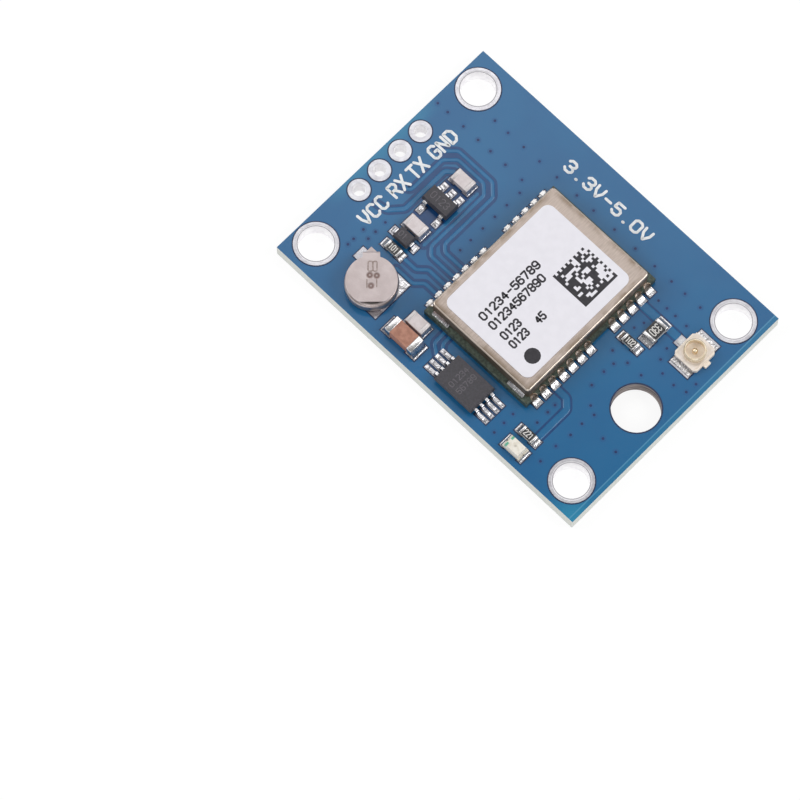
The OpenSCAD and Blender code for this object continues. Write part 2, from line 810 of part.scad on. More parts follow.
module mounting_hole_plating() {
    color("#c9cbcd")
        at_mounting_holes()
            plated_hole(mount_d, mount_ring_d);
}

module header_hole_plating() {
    color("#c9cbcd")
        at_header_holes()
            plated_hole(header_d, header_ring_d);
}

module back_pads() {
    color("#b9bcbf")
        difference() {
            union() {
                for (i = [0, 1], y = [back_pad_upper_y, back_pad_lower_y[i]])
                    at([back_pad_x[i], y])
                        slab(back_pad_l, back_pad_w, pad_t);
            }
            at([cable_hole_x, cable_hole_y])
                through_hole(cable_hole_d + 2 * cable_hole_rim);
        }
}

module receiver_pads() {
    color("#cfd1d3")
        translate([0, 0, z_top])
            for (side = [-1, 1])
                at_contacts(side)
                    strip(-contact_pad_tuck, contact_show(side), contact_pad_w, pad_t);
}

module component_pads() {
    color("#cfd1d3")
        translate([0, 0, z_top]) {
            at_regulator_leads()
                strip(lead_t, regulator_reach + regulator_pad_toe, regulator_pad_w, pad_t);
            at_diode_leads()
                strip(lead_t, diode_reach + diode_pad_toe, diode_pad_w, pad_t);
            at_memory_leads()
                strip(lead_t, memory_reach + memory_pad_toe, memory_pad_w, pad_t);
            at(bulk_at)
                chip_pads(bulk_l, bulk_w, bulk_end);
            for (p = [input_at, output_at, memory_capacitor_at])
                at(p)
                    chip_pads(ceramic_l, ceramic_w, ceramic_end, ceramic_pad_reach);
            for (p = [charge_at, light_resistor_at, bias_at])
                at(p)
                    chip_pads(resistor_l, resistor_w, resistor_end);
            at_filter()
                chip_pads(filter_l, filter_w, filter_end);
            at(light_at)
                chip_pads(light_l, light_w, light_end, light_pad_reach);
            at(cell_at) {
                translate([0, cell_pad_shift, 0])
                    strip(0, cell_bottom_reach + solder_rim, cell_pad_w, pad_t);
                translate([0, foot_pad_shift, 0])
                    strip(foot_pad_start, foot_pad_l - foot_pad_reach, foot_pad_w, pad_t);
            }
            at(socket_at) {
                rotate([0, 0, 90])
                    both_ends()
                        strip(socket_side / 2 - socket_pad_tuck, socket_pad_end, ground_leg_w, pad_t);
                strip(signal_pad_end - socket_at[0], -socket_side / 2,
                    signal_foot_w + 2 * socket_pad_rim, pad_t);
            }
        }
}

module component_solder() {
    color("#d5d6d8")
        translate([0, 0, z_pad]) {
            at(bulk_at)
                chip_solder(bulk_l, bulk_w, bulk_h);
            for (p = [input_at, output_at, memory_capacitor_at])
                at(p)
                    chip_solder(ceramic_l, ceramic_w, ceramic_h, ceramic_pad_reach);
            for (p = [charge_at, light_resistor_at, bias_at])
                at(p)
                    chip_solder(resistor_l, resistor_w, resistor_h);
            at_filter()
                chip_solder(filter_l, filter_w, filter_h);
            at(light_at)
                chip_solder(light_l, light_w, light_base_t, light_pad_reach);
        }
}

module lead_solder() {
    color("#d5d6d8")
        translate([0, 0, z_pad]) {
            at_regulator_leads()
                translate([regulator_reach, 0, 0])
                    toe_solder(regulator_pad_toe, regulator_lead_w);
            at_diode_leads()
                translate([diode_reach, 0, 0])
                    toe_solder(diode_pad_toe, diode_lead_w);
            at_memory_leads()
                translate([memory_reach, 0, 0])
                    toe_solder(memory_pad_toe, memory_lead_w);
        }
}

module receiver_board() {
    color("#3f6b4c")
        difference() {
            at(receiver_at, z_pad)
                slab(receiver_w, receiver_l, receiver_t);
            at_edge_contacts()
                translate([0, 0, z_pad - cut])
                    cylinder(r = contact_wall_r, h = receiver_t + 2 * cut);
        }
}

// Half-round plating, flush with the edge of the receiver board
module receiver_contacts() {
    color("#c8b98f")
        translate([0, 0, z_pad])
            at_edge_contacts()
                difference() {
                    cylinder(r = contact_wall_r, h = receiver_t);
                    translate([0, 0, -cut])
                        cylinder(r = contact_r, h = receiver_t + 2 * cut);
                    translate([0, -contact_wall_r - cut, -cut])
                        cube([contact_wall_r + cut, 2 * (contact_wall_r + cut),
                            receiver_t + 2 * cut]);
                }
}

// Solder that fills a half-round contact and runs out onto its pad
module receiver_solder() {
    color("#d5d6d8")
        translate([0, 0, z_pad])
            for (side = [-1, 1])
                at_contacts(side) {
                    upright(contact_pad_w - 2 * solder_rim)
                        polygon(fillet(contact_show(side) - solder_rim, contact_solder_rise));
                    difference() {
                        cylinder(r = contact_r, h = contact_solder_rise);
                        translate([0, -contact_r - cut, -cut])
                            cube([contact_r + cut, 2 * (contact_r + cut), receiver_t + 2 * cut]);
                    }
                }
}

// Corner post of the drawn can, rounded at its top
module shield_post() {
    rotate_extrude($fn = post_sides)
        polygon(concat([[0, shield_h], [0, 0], [shield_corner_r, 0]],
            reversed(arc_points([shield_corner_r - shield_edge_r, shield_h - shield_edge_r],
                shield_edge_r, 0, 90))));
}

module at_shield_corners() {
    for (x = [-1, 1], y = [-1, 1])
        translate([x * (shield_w / 2 - shield_corner_r), y * (shield_l / 2 - shield_corner_r), 0])
            children();
}

module shield_can() {
    color("#a99c8a")
        at(receiver_at, z_receiver)
            difference() {
                hull()
                    at_shield_corners()
                        shield_post();
                hull()
                    at_shield_corners()
                        translate([0, 0, -cut])
                            cylinder(r = shield_inner_r, h = shield_h - shield_wall + cut,
                                $fn = post_sides);
                for (i = [0:contact_count - 1])
                    if (abs(contact_y(i)) + shield_notch_w / 2 < shield_l / 2 - shield_corner_r)
                        translate([0, contact_y(i), -cut])
                            slab(shield_w + 2 * cut, shield_notch_w, shield_notch_h + cut);
                translate([0, 0, -cut])
                    slab(shield_w - 2 * shield_leg, shield_l + 2 * cut, shield_gap_h + cut);
            }
}

module shield_solder() {
    color("#d5d6d8")
        at(receiver_at, z_receiver)
            rotate([0, 0, 90])
                both_ends()
                    for (x = [-1, 1])
                        translate([shield_l / 2, x * (shield_w / 2 - shield_leg / 2
                            - shield_corner_r / 2), 0])
                            upright(shield_leg - shield_corner_r)
                                polygon(fillet(shield_bead, shield_bead));
}

module receiver_label() {
    color("#e6e3ea")
        at(receiver_at, z_shield)
            translate([0, label_shift, 0])
                rounded_slab(label_w, label_l, label_t, label_corner_r);
}

module receiver_chip() {
    color("#2e2f33")
        at(receiver_at + chip_at, z_receiver)
            linear_extrude(height = chip_h)
                polygon([[-chip_side / 2, -chip_side / 2], [chip_side / 2, -chip_side / 2],
                    [chip_side / 2, chip_side / 2], [chip_cut - chip_side / 2, chip_side / 2],
                    [-chip_side / 2, chip_side / 2 - chip_cut]]);
}

module oscillator() {
    color("#b9bcc0")
        at(receiver_at + oscillator_at, z_receiver) {
            slab(oscillator_l, oscillator_w, oscillator_h * oscillator_base_share);
            slab(oscillator_l - 2 * oscillator_lid_inset, oscillator_w - 2 * oscillator_lid_inset,
                oscillator_h);
        }
}

module antenna_filter() {
    color("#8d8f94")
        at(receiver_at + antenna_filter_at, z_receiver)
            slab(antenna_filter_l, antenna_filter_w, antenna_filter_h);
}

module regulator_body() {
    color("#47444a")
        at(regulator_at, z_pad + body_standoff)
            moulded_body(regulator_l, regulator_w, regulator_h);
}

module regulator_leads() {
    color("#c4c6c8")
        translate([0, 0, z_pad])
            at_regulator_leads()
                gull_lead(regulator_reach, regulator_h, regulator_lead_w, regulator_shoulder);
}

module diode_body() {
    color("#3d3b40")
        at(diode_at, z_pad + body_standoff)
            moulded_body(diode_l, diode_w, diode_h);
}

module diode_leads() {
    color("#c4c6c8")
        translate([0, 0, z_pad])
            at_diode_leads()
                gull_lead(diode_reach, diode_h, diode_lead_w, diode_shoulder);
}

module memory_body() {
    color("#47444a")
        at(memory_at, z_pad + body_standoff)
            moulded_body(memory_l, memory_w, memory_h);
}

module memory_leads() {
    color("#c4c6c8")
        translate([0, 0, z_pad])
            at_memory_leads()
                gull_lead(memory_reach, memory_h, memory_lead_w, memory_shoulder);
}

// Can of the cell, its rim crimped over the gasket
module cell_can() {
    color("#b9aeab")
        at(cell_at, z_cell)
            rotate_extrude()
                polygon(concat([[0, 0]],
                    reversed(arc_points([cell_r - cell_base_r, cell_base_r], cell_base_r, 90, 180)),
                    reversed(arc_points([gasket_r, cell_h - cell_crimp_r], cell_crimp_r, 0, 90)),
                    [[gasket_r, cell_h - cell_seat], [0, cell_h - cell_seat]]));
}

module cell_gasket() {
    color("#4b4744")
        at(cell_at, z_cell + cell_h - cell_seat)
            difference() {
                cylinder(r = gasket_r, h = cell_seat - gasket_sink);
                translate([0, 0, -cut])
                    cylinder(r = cap_r, h = cell_seat + 2 * cut);
            }
}

module cell_cap() {
    color("#c4b8b6")
        at(cell_at, z_cell + cell_h - cell_seat)
            rotate_extrude()
                polygon(concat([[0, cell_seat + cell_cap_rise], [0, 0], [cap_r, 0]],
                    reversed(arc_points([cap_r - cap_edge_r, cell_seat + cell_cap_rise - cap_edge_r],
                        cap_edge_r, 0, 90))));
}

// Distance from the bend at the can to the top tab's foot
function cell_foot_start() =
    second_bend(cell_tab_gap, z_cell_cap - z_pad, cell_tab_bend_r, cell_tab_turn)[0];

// Bent end of the top tab, whose foot runs to a square point
module cell_tab_bend() {
    point_x = cell_foot_start() + cell_foot_lead + cell_tab_w / 2;
    difference() {
        upright(cell_tab_w)
            polygon(gull_wing(cell_tab_gap, z_cell_cap - z_pad, point_x, cell_tab_bend_r,
                cell_tab_turn, cell_tab_t));
        for (y = [-1, 1])
            translate([point_x, 0, z_pad - z_cell_cap - cell_tab_t / 2 - cut])
                linear_extrude(height = cell_tab_t + 2 * cut)
                    polygon([[0, 0], [cut, 0], [cut, y * cell_tab_w], [-cell_tab_w, y * cell_tab_w]]);
    }
}

// Welded plate with a straight side and a tab that bends down to its pad
module cell_top_tab() {
    color("#c9bebb")
        at(cell_at, z_cell_cap)
            rotate([0, 0, cell_tab_angle]) {
                linear_extrude(height = cell_tab_t) {
                    difference() {
                        circle(d = cell_plate_d);
                        translate([-cell_plate_flat - cell_plate_d, -cell_plate_d / 2])
                            square(cell_plate_d);
                    }
                    translate([0, -cell_tab_w / 2])
                        square([cell_r, cell_tab_w]);
                }
                translate([cell_r, 0, cell_tab_t / 2])
                    cell_tab_bend();
            }
}

module cell_bottom_tab() {
    color("#c9bebb")
        at(cell_at, z_pad)
            translate([0, cell_bottom_shift, 0])
                strip(-cell_bottom_tuck, cell_bottom_reach, cell_bottom_w, cell_tab_t);
}

module bulk_capacitor_body() {
    color("#ae7f69")
        at(bulk_at, z_pad)
            ceramic_core(bulk_l, bulk_w, bulk_h);
}

module bulk_capacitor_ends() {
    color("#d2d3d5")
        at(bulk_at, z_pad)
            cup_ends(bulk_l, bulk_w, bulk_h, bulk_end);
}

module input_capacitor_body() {
    color("#d6ccc8")
        at(input_at, z_pad)
            ceramic_core(ceramic_l, ceramic_w, ceramic_h);
}

module input_capacitor_ends() {
    color("#d2d3d5")
        at(input_at, z_pad)
            cup_ends(ceramic_l, ceramic_w, ceramic_h, ceramic_end);
}

module output_capacitor_body() {
    color("#d6ccc8")
        at(output_at, z_pad)
            ceramic_core(ceramic_l, ceramic_w, ceramic_h);
}

module output_capacitor_ends() {
    color("#d2d3d5")
        at(output_at, z_pad)
            cup_ends(ceramic_l, ceramic_w, ceramic_h, ceramic_end);
}

module memory_capacitor_body() {
    color("#d6ccc8")
        at(memory_capacitor_at, z_pad)
            ceramic_core(ceramic_l, ceramic_w, ceramic_h);
}

module memory_capacitor_ends() {
    color("#d2d3d5")
        at(memory_capacitor_at, z_pad)
            cup_ends(ceramic_l, ceramic_w, ceramic_h, ceramic_end);
}

module charge_resistor_body() {
    color("#d9d8d4")
        at(charge_at, z_pad)
            alumina_core(resistor_l, resistor_w, resistor_h);
}

module charge_resistor_coat() {
    color("#26272b")
        at(charge_at, z_pad)
            resistor_coat(resistor_l, resistor_w, resistor_h, resistor_end);
}

module charge_resistor_ends() {
    color("#d2d3d5")
        at(charge_at, z_pad)
            folded_ends(resistor_l, resistor_w, resistor_h, resistor_end);
}

module light_resistor_body() {
    color("#d9d8d4")
        at(light_resistor_at, z_pad)
            alumina_core(resistor_l, resistor_w, resistor_h);
}

module light_resistor_coat() {
    color("#26272b")
        at(light_resistor_at, z_pad)
            resistor_coat(resistor_l, resistor_w, resistor_h, resistor_end);
}

module light_resistor_ends() {
    color("#d2d3d5")
        at(light_resistor_at, z_pad)
            folded_ends(resistor_l, resistor_w, resistor_h, resistor_end);
}

module filter_resistor_body() {
    color("#d9d8d4")
        translate([0, 0, z_pad])
            at_filter()
                alumina_core(filter_l, filter_w, filter_h);
}

module filter_resistor_coat() {
    color("#26272b")
        translate([0, 0, z_pad])
            at_filter()
                resistor_coat(filter_l, filter_w, filter_h, filter_end);
}

module filter_resistor_ends() {
    color("#d2d3d5")
        translate([0, 0, z_pad])
            at_filter()
                folded_ends(filter_l, filter_w, filter_h, filter_end);
}

module bias_resistor_body() {
    color("#d9d8d4")
        at(bias_at, z_pad)
            alumina_core(resistor_l, resistor_w, resistor_h);
}

module bias_resistor_coat() {
    color("#26272b")
        at(bias_at, z_pad)
            resistor_coat(resistor_l, resistor_w, resistor_h, resistor_end);
}

module bias_resistor_ends() {
    color("#d2d3d5")
        at(bias_at, z_pad)
            folded_ends(resistor_l, resistor_w, resistor_h, resistor_end);
}

// Half-round notches in both ends of the status light
module light_notches() {
    both_ends()
        translate([light_l / 2, 0, -cut])
            cylinder(r = light_notch_r, h = light_base_t + 2 * cut);
}

module light_base() {
    color("#d8d2c0")
        at(light_at, z_pad)
            difference() {
                alumina_core(light_l, light_w, light_base_t);
                light_notches();
            }
}

module light_lens() {
    color("#ece6d8")
        at(light_at, z_pad + light_base_t - end_t)
            hull() {
                slab(light_l - 2 * light_end, light_w, end_t);
                translate([0, 0, light_lens_h - slice])
                    slab(light_l - 2 * (light_end + light_lens_draft), light_w
                        - 2 * light_lens_draft, slice);
            }
}

module light_terminals() {
    color("#cfc9bb")
        at(light_at, z_pad)
            difference() {
                folded_ends(light_l, light_w, light_base_t, light_end);
                light_notches();
            }
}

// Insulating base with a bore for the pin and a channel for its foot
module socket_base() {
    color("#e6dcc8")
        at(socket_at, z_pad)
            difference() {
                union() {
                    linear_extrude(height = socket_base_h)
                        cut_square(socket_side, socket_base_cut);
                    strip(0, socket_side / 2 + socket_lug_l, socket_lug_w, socket_lug_h);
                }
                translate([0, 0, -cut])
                    cylinder(r = pin_r, h = socket_base_h + 2 * cut);
                translate([0, 0, -cut])
                    strip(-socket_side, pin_r, signal_foot_w, socket_sheet + cut);
            }
}

// Square whose four corners are cut off
module cut_square(side, corner) {
    polygon([[side / 2, side / 2 - corner], [side / 2 - corner, side / 2],
        [corner - side / 2, side / 2], [-side / 2, side / 2 - corner],
        [-side / 2, corner - side / 2], [corner - side / 2, -side / 2],
        [side / 2 - corner, -side / 2], [side / 2, corner - side / 2]]);
}

// Barrel with a snap groove, which stands in the ground plate's hole
module socket_barrel() {
    color("#cdb98a")
        at(socket_at, z_pad + socket_base_h + socket_sheet)
            rotate_extrude()
                difference() {
                    polygon([[barrel_r - barrel_wall, 0], [barrel_r, 0],
                        [barrel_r, barrel_h - barrel_bevel], [barrel_r - barrel_bevel, barrel_h],
                        [barrel_r - barrel_wall, barrel_h]]);
                    translate([barrel_r, groove_z])
                        circle(r = groove_r);
                }
}

// Ground plate that folds down over the base to two feet
module socket_plate() {
    color("#cdb98a")
        at(socket_at, z_pad)
            difference() {
                rotate([0, 0, 90])
                    upright(ground_leg_w)
                        polygon(ground_bracket());
                translate([0, 0, -cut])
                    cylinder(r = barrel_r - barrel_wall, h = socket_base_h + socket_sheet + 2 * cut);
            }
}

// Outline of the folded ground plate with its two feet
function bracket_side(s) = [
    [s * (socket_side / 2 + socket_sheet), socket_base_h + socket_sheet],
    [s * (socket_side / 2 + socket_sheet), socket_sheet],
    [s * (socket_side / 2 + socket_sheet + ground_foot), socket_sheet],
    [s * (socket_side / 2 + socket_sheet + ground_foot), 0],
    [s * socket_side / 2, 0],
    [s * socket_side / 2, socket_base_h]];
function ground_bracket() = concat(bracket_side(1), reversed(bracket_side(-1)));

// Pin with a domed top and a flat signal foot
module socket_pin() {
    color("#d9b660")
        at(socket_at, z_pad) {
            rotate_extrude()
                polygon(concat([[0, socket_base_h + pin_h], [0, 0], [pin_r, 0]],
                    reversed(arc_points([0, socket_base_h + pin_h - pin_r], pin_r, 0, 90))));
            strip(-socket_side / 2 - signal_foot, pin_r, signal_foot_w, socket_sheet);
        }
}

board();
mounting_hole_plating();
header_hole_plating();
back_pads();
receiver_pads();
component_pads();
component_solder();
lead_solder();
receiver_board();
receiver_contacts();
receiver_solder();
shield_can();
shield_solder();
receiver_label();
receiver_chip();
oscillator();
antenna_filter();
regulator_body();
regulator_leads();
diode_body();
diode_leads();
memory_body();
memory_leads();
cell_can();
cell_gasket();
cell_cap();
cell_top_tab();
cell_bottom_tab();
bulk_capacitor_body();
bulk_capacitor_ends();
input_capacitor_body();
input_capacitor_ends();
output_capacitor_body();
output_capacitor_ends();
memory_capacitor_body();
memory_capacitor_ends();
charge_resistor_body();
charge_resistor_coat();
charge_resistor_ends();
light_resistor_body();
light_resistor_coat();
light_resistor_ends();
filter_resistor_body();
filter_resistor_coat();
filter_resistor_ends();
bias_resistor_body();
bias_resistor_coat();
bias_resistor_ends();
light_base();
light_lens();
light_terminals();
socket_base();
socket_plate();
socket_barrel();
socket_pin();
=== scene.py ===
"""Looks of a satellite-positioning module: finishes, printing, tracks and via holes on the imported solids."""

from __future__ import annotations

import functools
import json
import logging
import math
import operator
from dataclasses import dataclass, field
from enum import Enum
from typing import Any, Sequence

import bmesh
import bpy
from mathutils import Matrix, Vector

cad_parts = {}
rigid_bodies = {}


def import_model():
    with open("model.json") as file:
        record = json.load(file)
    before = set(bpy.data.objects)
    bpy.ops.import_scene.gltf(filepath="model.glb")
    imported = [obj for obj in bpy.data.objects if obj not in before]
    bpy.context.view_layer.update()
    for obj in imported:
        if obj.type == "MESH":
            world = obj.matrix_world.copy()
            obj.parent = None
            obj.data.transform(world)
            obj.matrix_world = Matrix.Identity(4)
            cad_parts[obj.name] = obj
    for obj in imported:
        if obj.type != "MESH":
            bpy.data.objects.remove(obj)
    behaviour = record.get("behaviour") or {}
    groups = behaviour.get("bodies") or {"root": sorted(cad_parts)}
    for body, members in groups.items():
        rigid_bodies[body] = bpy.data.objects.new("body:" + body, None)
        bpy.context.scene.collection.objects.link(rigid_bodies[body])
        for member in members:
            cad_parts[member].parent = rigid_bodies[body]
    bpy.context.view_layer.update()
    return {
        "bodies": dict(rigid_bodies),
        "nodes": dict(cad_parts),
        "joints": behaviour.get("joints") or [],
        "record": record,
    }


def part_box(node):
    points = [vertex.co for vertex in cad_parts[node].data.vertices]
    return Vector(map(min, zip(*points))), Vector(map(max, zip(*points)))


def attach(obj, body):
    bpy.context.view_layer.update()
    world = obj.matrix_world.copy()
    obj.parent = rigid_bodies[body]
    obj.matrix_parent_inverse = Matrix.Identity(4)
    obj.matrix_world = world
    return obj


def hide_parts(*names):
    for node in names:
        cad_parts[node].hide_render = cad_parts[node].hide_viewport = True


LOG = logging.getLogger("module_looks")

Point = tuple[float, float]
Place = tuple[float, float, float]
Path = list[Point]
Colour = tuple[float, float, float, float]
# two ends of a range; a mask falls over it where the first end is the larger
Span = tuple[float, float]

# units
MM = 0.001
PER_MM = 1000.0

# points closer than this, in metres, are one point
WELD = 1e-7

# strokes that cross lie on layers of their own, in millimetres apart
LAYERS = 16
LAYER_RISE = 0.0003

# how far a face may lean before it no longer counts as upright
UPRIGHT: Span = (0.6, 0.3)

BODY = "root"
CABLE_HOLE: Place = (14.55, -1.65, 2.2)


def rgb(code: str) -> Colour:
    """Turn a display colour into a linear one.

    Args:
        code: six hexadecimal digits after a hash mark.

    Returns:
        Linear red, green and blue with an alpha of one.
    """
    parts = [int(code[i:i + 2], 16) / 255 for i in (1, 3, 5)]
    # the curve of display colours, with its straight part near black
    linear = [c / 12.92 if c <= 0.04045 else ((c + 0.055) / 1.055) ** 2.4 for c in parts]
    return linear[0], linear[1], linear[2], 1.0


class Value:
    """A socket of a material's node tree; arithmetic on it adds Math nodes."""

    def __init__(self, net: Net, socket: bpy.types.NodeSocket) -> None:
        """Keep the socket and the net that it belongs to."""
        self.net = net
        self.socket = socket

    def math(self, operation: str, first: Value | float, second: Value | float = 0.0) -> Value:
        """Add one Math node.

        Args:
            operation: the node's operation.
            first: left operand.
            second: right operand.

        Returns:
            The node's result.
        """
        node = self.net.node("ShaderNodeMath", {"operation": operation}, {0: first, 1: second})
        return Value(self.net, node.outputs[0])

    def __add__(self, other: Value | float) -> Value:
        """Return self + other."""
        return self.math("ADD", self, other)

    def __radd__(self, other: float) -> Value:
        """Return other + self."""
        return self.math("ADD", other, self)

    def __sub__(self, other: Value | float) -> Value:
        """Return self - other."""
        return self.math("SUBTRACT", self, other)

    def __rsub__(self, other: float) -> Value:
        """Return other - self."""
        return self.math("SUBTRACT", other, self)

    def __mul__(self, other: Value | float) -> Value:
        """Return self * other."""
        return self.math("MULTIPLY", self, other)

    def __rmul__(self, other: float) -> Value:
        """Return other * self."""
        return self.math("MULTIPLY", other, self)

    def __pow__(self, other: float) -> Value:
        """Return self ** other."""
        return self.math("POWER", self, other)

    def __abs__(self) -> Value:
        """Return the size of self without its sign."""
        return self.math("ABSOLUTE", self)

    def __or__(self, other: Value | float) -> Value:
        """Return the larger of two masks."""
        return self.math("MAXIMUM", self, other)

    def __and__(self, other: Value | float) -> Value:
        """Return the smaller of two masks."""
        return self.math("MINIMUM", self, other)


class Nodes:
    """A node tree that nodes are added to."""

    def __init__(self, tree: bpy.types.NodeTree) -> None:
        """Keep the tree."""
        self.tree = tree

    def node(self, kind: str, settings: dict[str, Any], sockets: dict[Any, Any]) -> bpy.types.Node:
        """Add a node.

        Args:
            kind: the node's type.
            settings: its properties, set first.
            sockets: a value, a link or a list of links for each input, by name or number.

        Returns:
            The new node.
        """
        node = self.tree.nodes.new(kind)
        for key, value in settings.items():
            setattr(node, key, value)
        for key, value in sockets.items():
            for item in value if isinstance(value, list) else [value]:
                link = item.socket if isinstance(item, Value) else item
                if isinstance(link, bpy.types.NodeSocket):
                    self.tree.links.new(link, node.inputs[key])
                else:
                    node.inputs[key].default_value = link
        return node


class Net(Nodes):
    """The node tree of one material."""

    def __init__(self, name: str) -> None:
        """Start an empty material.

        Args:
            name: name of the material.
        """
        self.material = bpy.data.materials.new(name)
        self.material.use_nodes = True
        super().__init__(self.material.node_tree)
        self.tree.nodes.clear()
        self._place: Value | None = None

    def place(self) -> Value:
        """Read the place on the object once.

        Returns:
            The place in millimetres.
        """
        if self._place is None:
            coordinate = self.node("ShaderNodeTexCoord", {}, {})
            scaled = self.node("ShaderNodeVectorMath", {"operation": "SCALE"},
                               {0: coordinate.outputs["Object"], "Scale": PER_MM})
            self._place = Value(self, scaled.outputs[0])
        return self._place

    def parts(self, vector: Value) -> tuple[Value, ...]:
        """Split a vector into its three numbers."""
        node = self.node("ShaderNodeSeparateXYZ", {}, {0: vector})
        return tuple(Value(self, output) for output in node.outputs)

    def up(self) -> Value:
        """Return how far the surface faces up in the object's frame, from minus one to one."""
        coordinate = self.node("ShaderNodeTexCoord", {}, {})
        return self.parts(Value(self, coordinate.outputs["Normal"]))[2]

    def noise(self, scale: float, detail: float = 2.0, stretch: Place = (1.0, 1.0, 1.0),
              shift: float = 0.0) -> Value:
        """Add a noise field.

        Args:
            scale: waves per millimetre.
            detail: octaves.
            stretch: scale along each axis.
            shift: offset that tells one field from another.

        Returns:
            A value from zero to one.
        """
        moved = self.node("ShaderNodeMapping", {},
                          {"Vector": self.place(), "Scale": stretch, "Location": (shift, shift, shift)})
        node = self.node("ShaderNodeTexNoise", {},
                         {"Vector": moved.outputs[0], "Scale": scale, "Detail": detail})
        return Value(self, node.outputs[0])

    def step(self, value: Value, span: Span) -> Value:
        """Turn smoothly from zero to one over a span.

        Args:
            value: what the mask depends on.
            span: its value where the mask is zero, then where it is one.

        Returns:
            The mask.
        """
        falls = span[0] > span[1]
        node = self.node("ShaderNodeMapRange", {"interpolation_type": "SMOOTHSTEP"},
                         {0: value, 1: min(span), 2: max(span), 3: float(falls), 4: float(not falls)})
        return Value(self, node.outputs[0])

    def between(self, share: Value, span: Span) -> Value:
        """Return the number that lies a share of the way along a span."""
        return span[0] + share * (span[1] - span[0])

    def blend(self, factor: Value, first: Value | Colour, second: Value | Colour) -> Value:
        """Mix two colours.

        Args:
            factor: share of the second colour.
            first: colour at zero.
            second: colour at one.

        Returns:
            The mixed colour.
        """
        node = self.node("ShaderNodeMix", {"data_type": "RGBA"}, {0: factor, 6: first, 7: second})
        return Value(self, node.outputs[2])

    def mottle(self, cloud: Value, dark: str, light: str, spread: Span = (0.3, 0.7)) -> Value:
        """Let a noise field vary between two display colours.

        Args:
            cloud: noise field.
            dark: colour where the field is low.
            light: colour where it is high.
            spread: values of the field between which the colours mix.

        Returns:
            The varied colour.
        """
        return self.blend(self.step(cloud, spread), rgb(dark), rgb(light))

    def bump(self, height: Value, relief: float) -> Value:
        """Turn a height field into a surface direction, with its relief in millimetres."""
        node = self.node("ShaderNodeBump", {}, {"Height": height, "Distance": relief * MM, "Strength": 1.0})
        return Value(self, node.outputs[0])

    def spot(self, centre: Point) -> Value:
        """Return the distance in plan from a point, in millimetres."""
        x, y, _ = self.parts(self.place())
        return ((x - centre[0]) ** 2.0 + (y - centre[1]) ** 2.0) ** 0.5

    def surface(self, sockets: dict[str, Any]) -> bpy.types.Material:
        """Close the tree with a surface shader.

        Args:
            sockets: values and links of the shader.

        Returns:
            The finished material.
        """
        shader = self.node("ShaderNodeBsdfPrincipled", {}, sockets)
        self.node("ShaderNodeOutputMaterial", {}, {"Surface": shader.outputs[0]})
        return self.material


@dataclass(frozen=True)
class MetalFinish:
    """Plated or soldered metal with uneven sheen."""

    name: str
    light: str
    dark: str
    rough: Span = (0.18, 0.38)
    grain: float = 1.6
    relief: float = 0.02
    metal: float = 1.0
    spread: Span = (0.32, 0.66)
    fineness: float = 5.0
    cloud_part: float = 0.7

    def make(self) -> bpy.types.Material:
        """Build the node tree.

        Returns:
            The finished material.
        """
        net = Net(self.name)
        cloud = net.noise(scale=self.grain, detail=3.0)
        fine = net.noise(scale=self.grain * self.fineness, shift=7.0)
        return net.surface({
            "Base Color": net.mottle(cloud, self.dark, self.light, self.spread),
            "Roughness": net.between(fine, self.rough),
            "Metallic": self.metal,
            "Normal": net.bump(cloud * self.cloud_part + fine * (1.0 - self.cloud_part), self.relief),
        })


@dataclass(frozen=True)
class SolidFinish:
    """Moulded, fired or printed material with mottling and a fine texture."""

    name: str
    light: str
    dark: str
    rough: Span = (0.45, 0.62)
    grain: float = 3.0
    relief: float = 0.008
    coat: float = 0.0
    spread: Span = (0.28, 0.72)
    fineness: float = 8.0

    def make(self) -> bpy.types.Material:
        """Build the node tree.

        Returns:
            The finished material.
        """
        net = Net(self.name)
        cloud = net.noise(scale=self.grain, detail=3.0)
        fine = net.noise(scale=self.grain * self.fineness, shift=4.0)
        return net.surface({
            "Base Color": net.mottle(cloud, self.dark, self.light, self.spread),
            "Roughness": net.between(fine, self.rough),
            "Coat Weight": self.coat,
            "Normal": net.bump(fine, self.relief),
        })


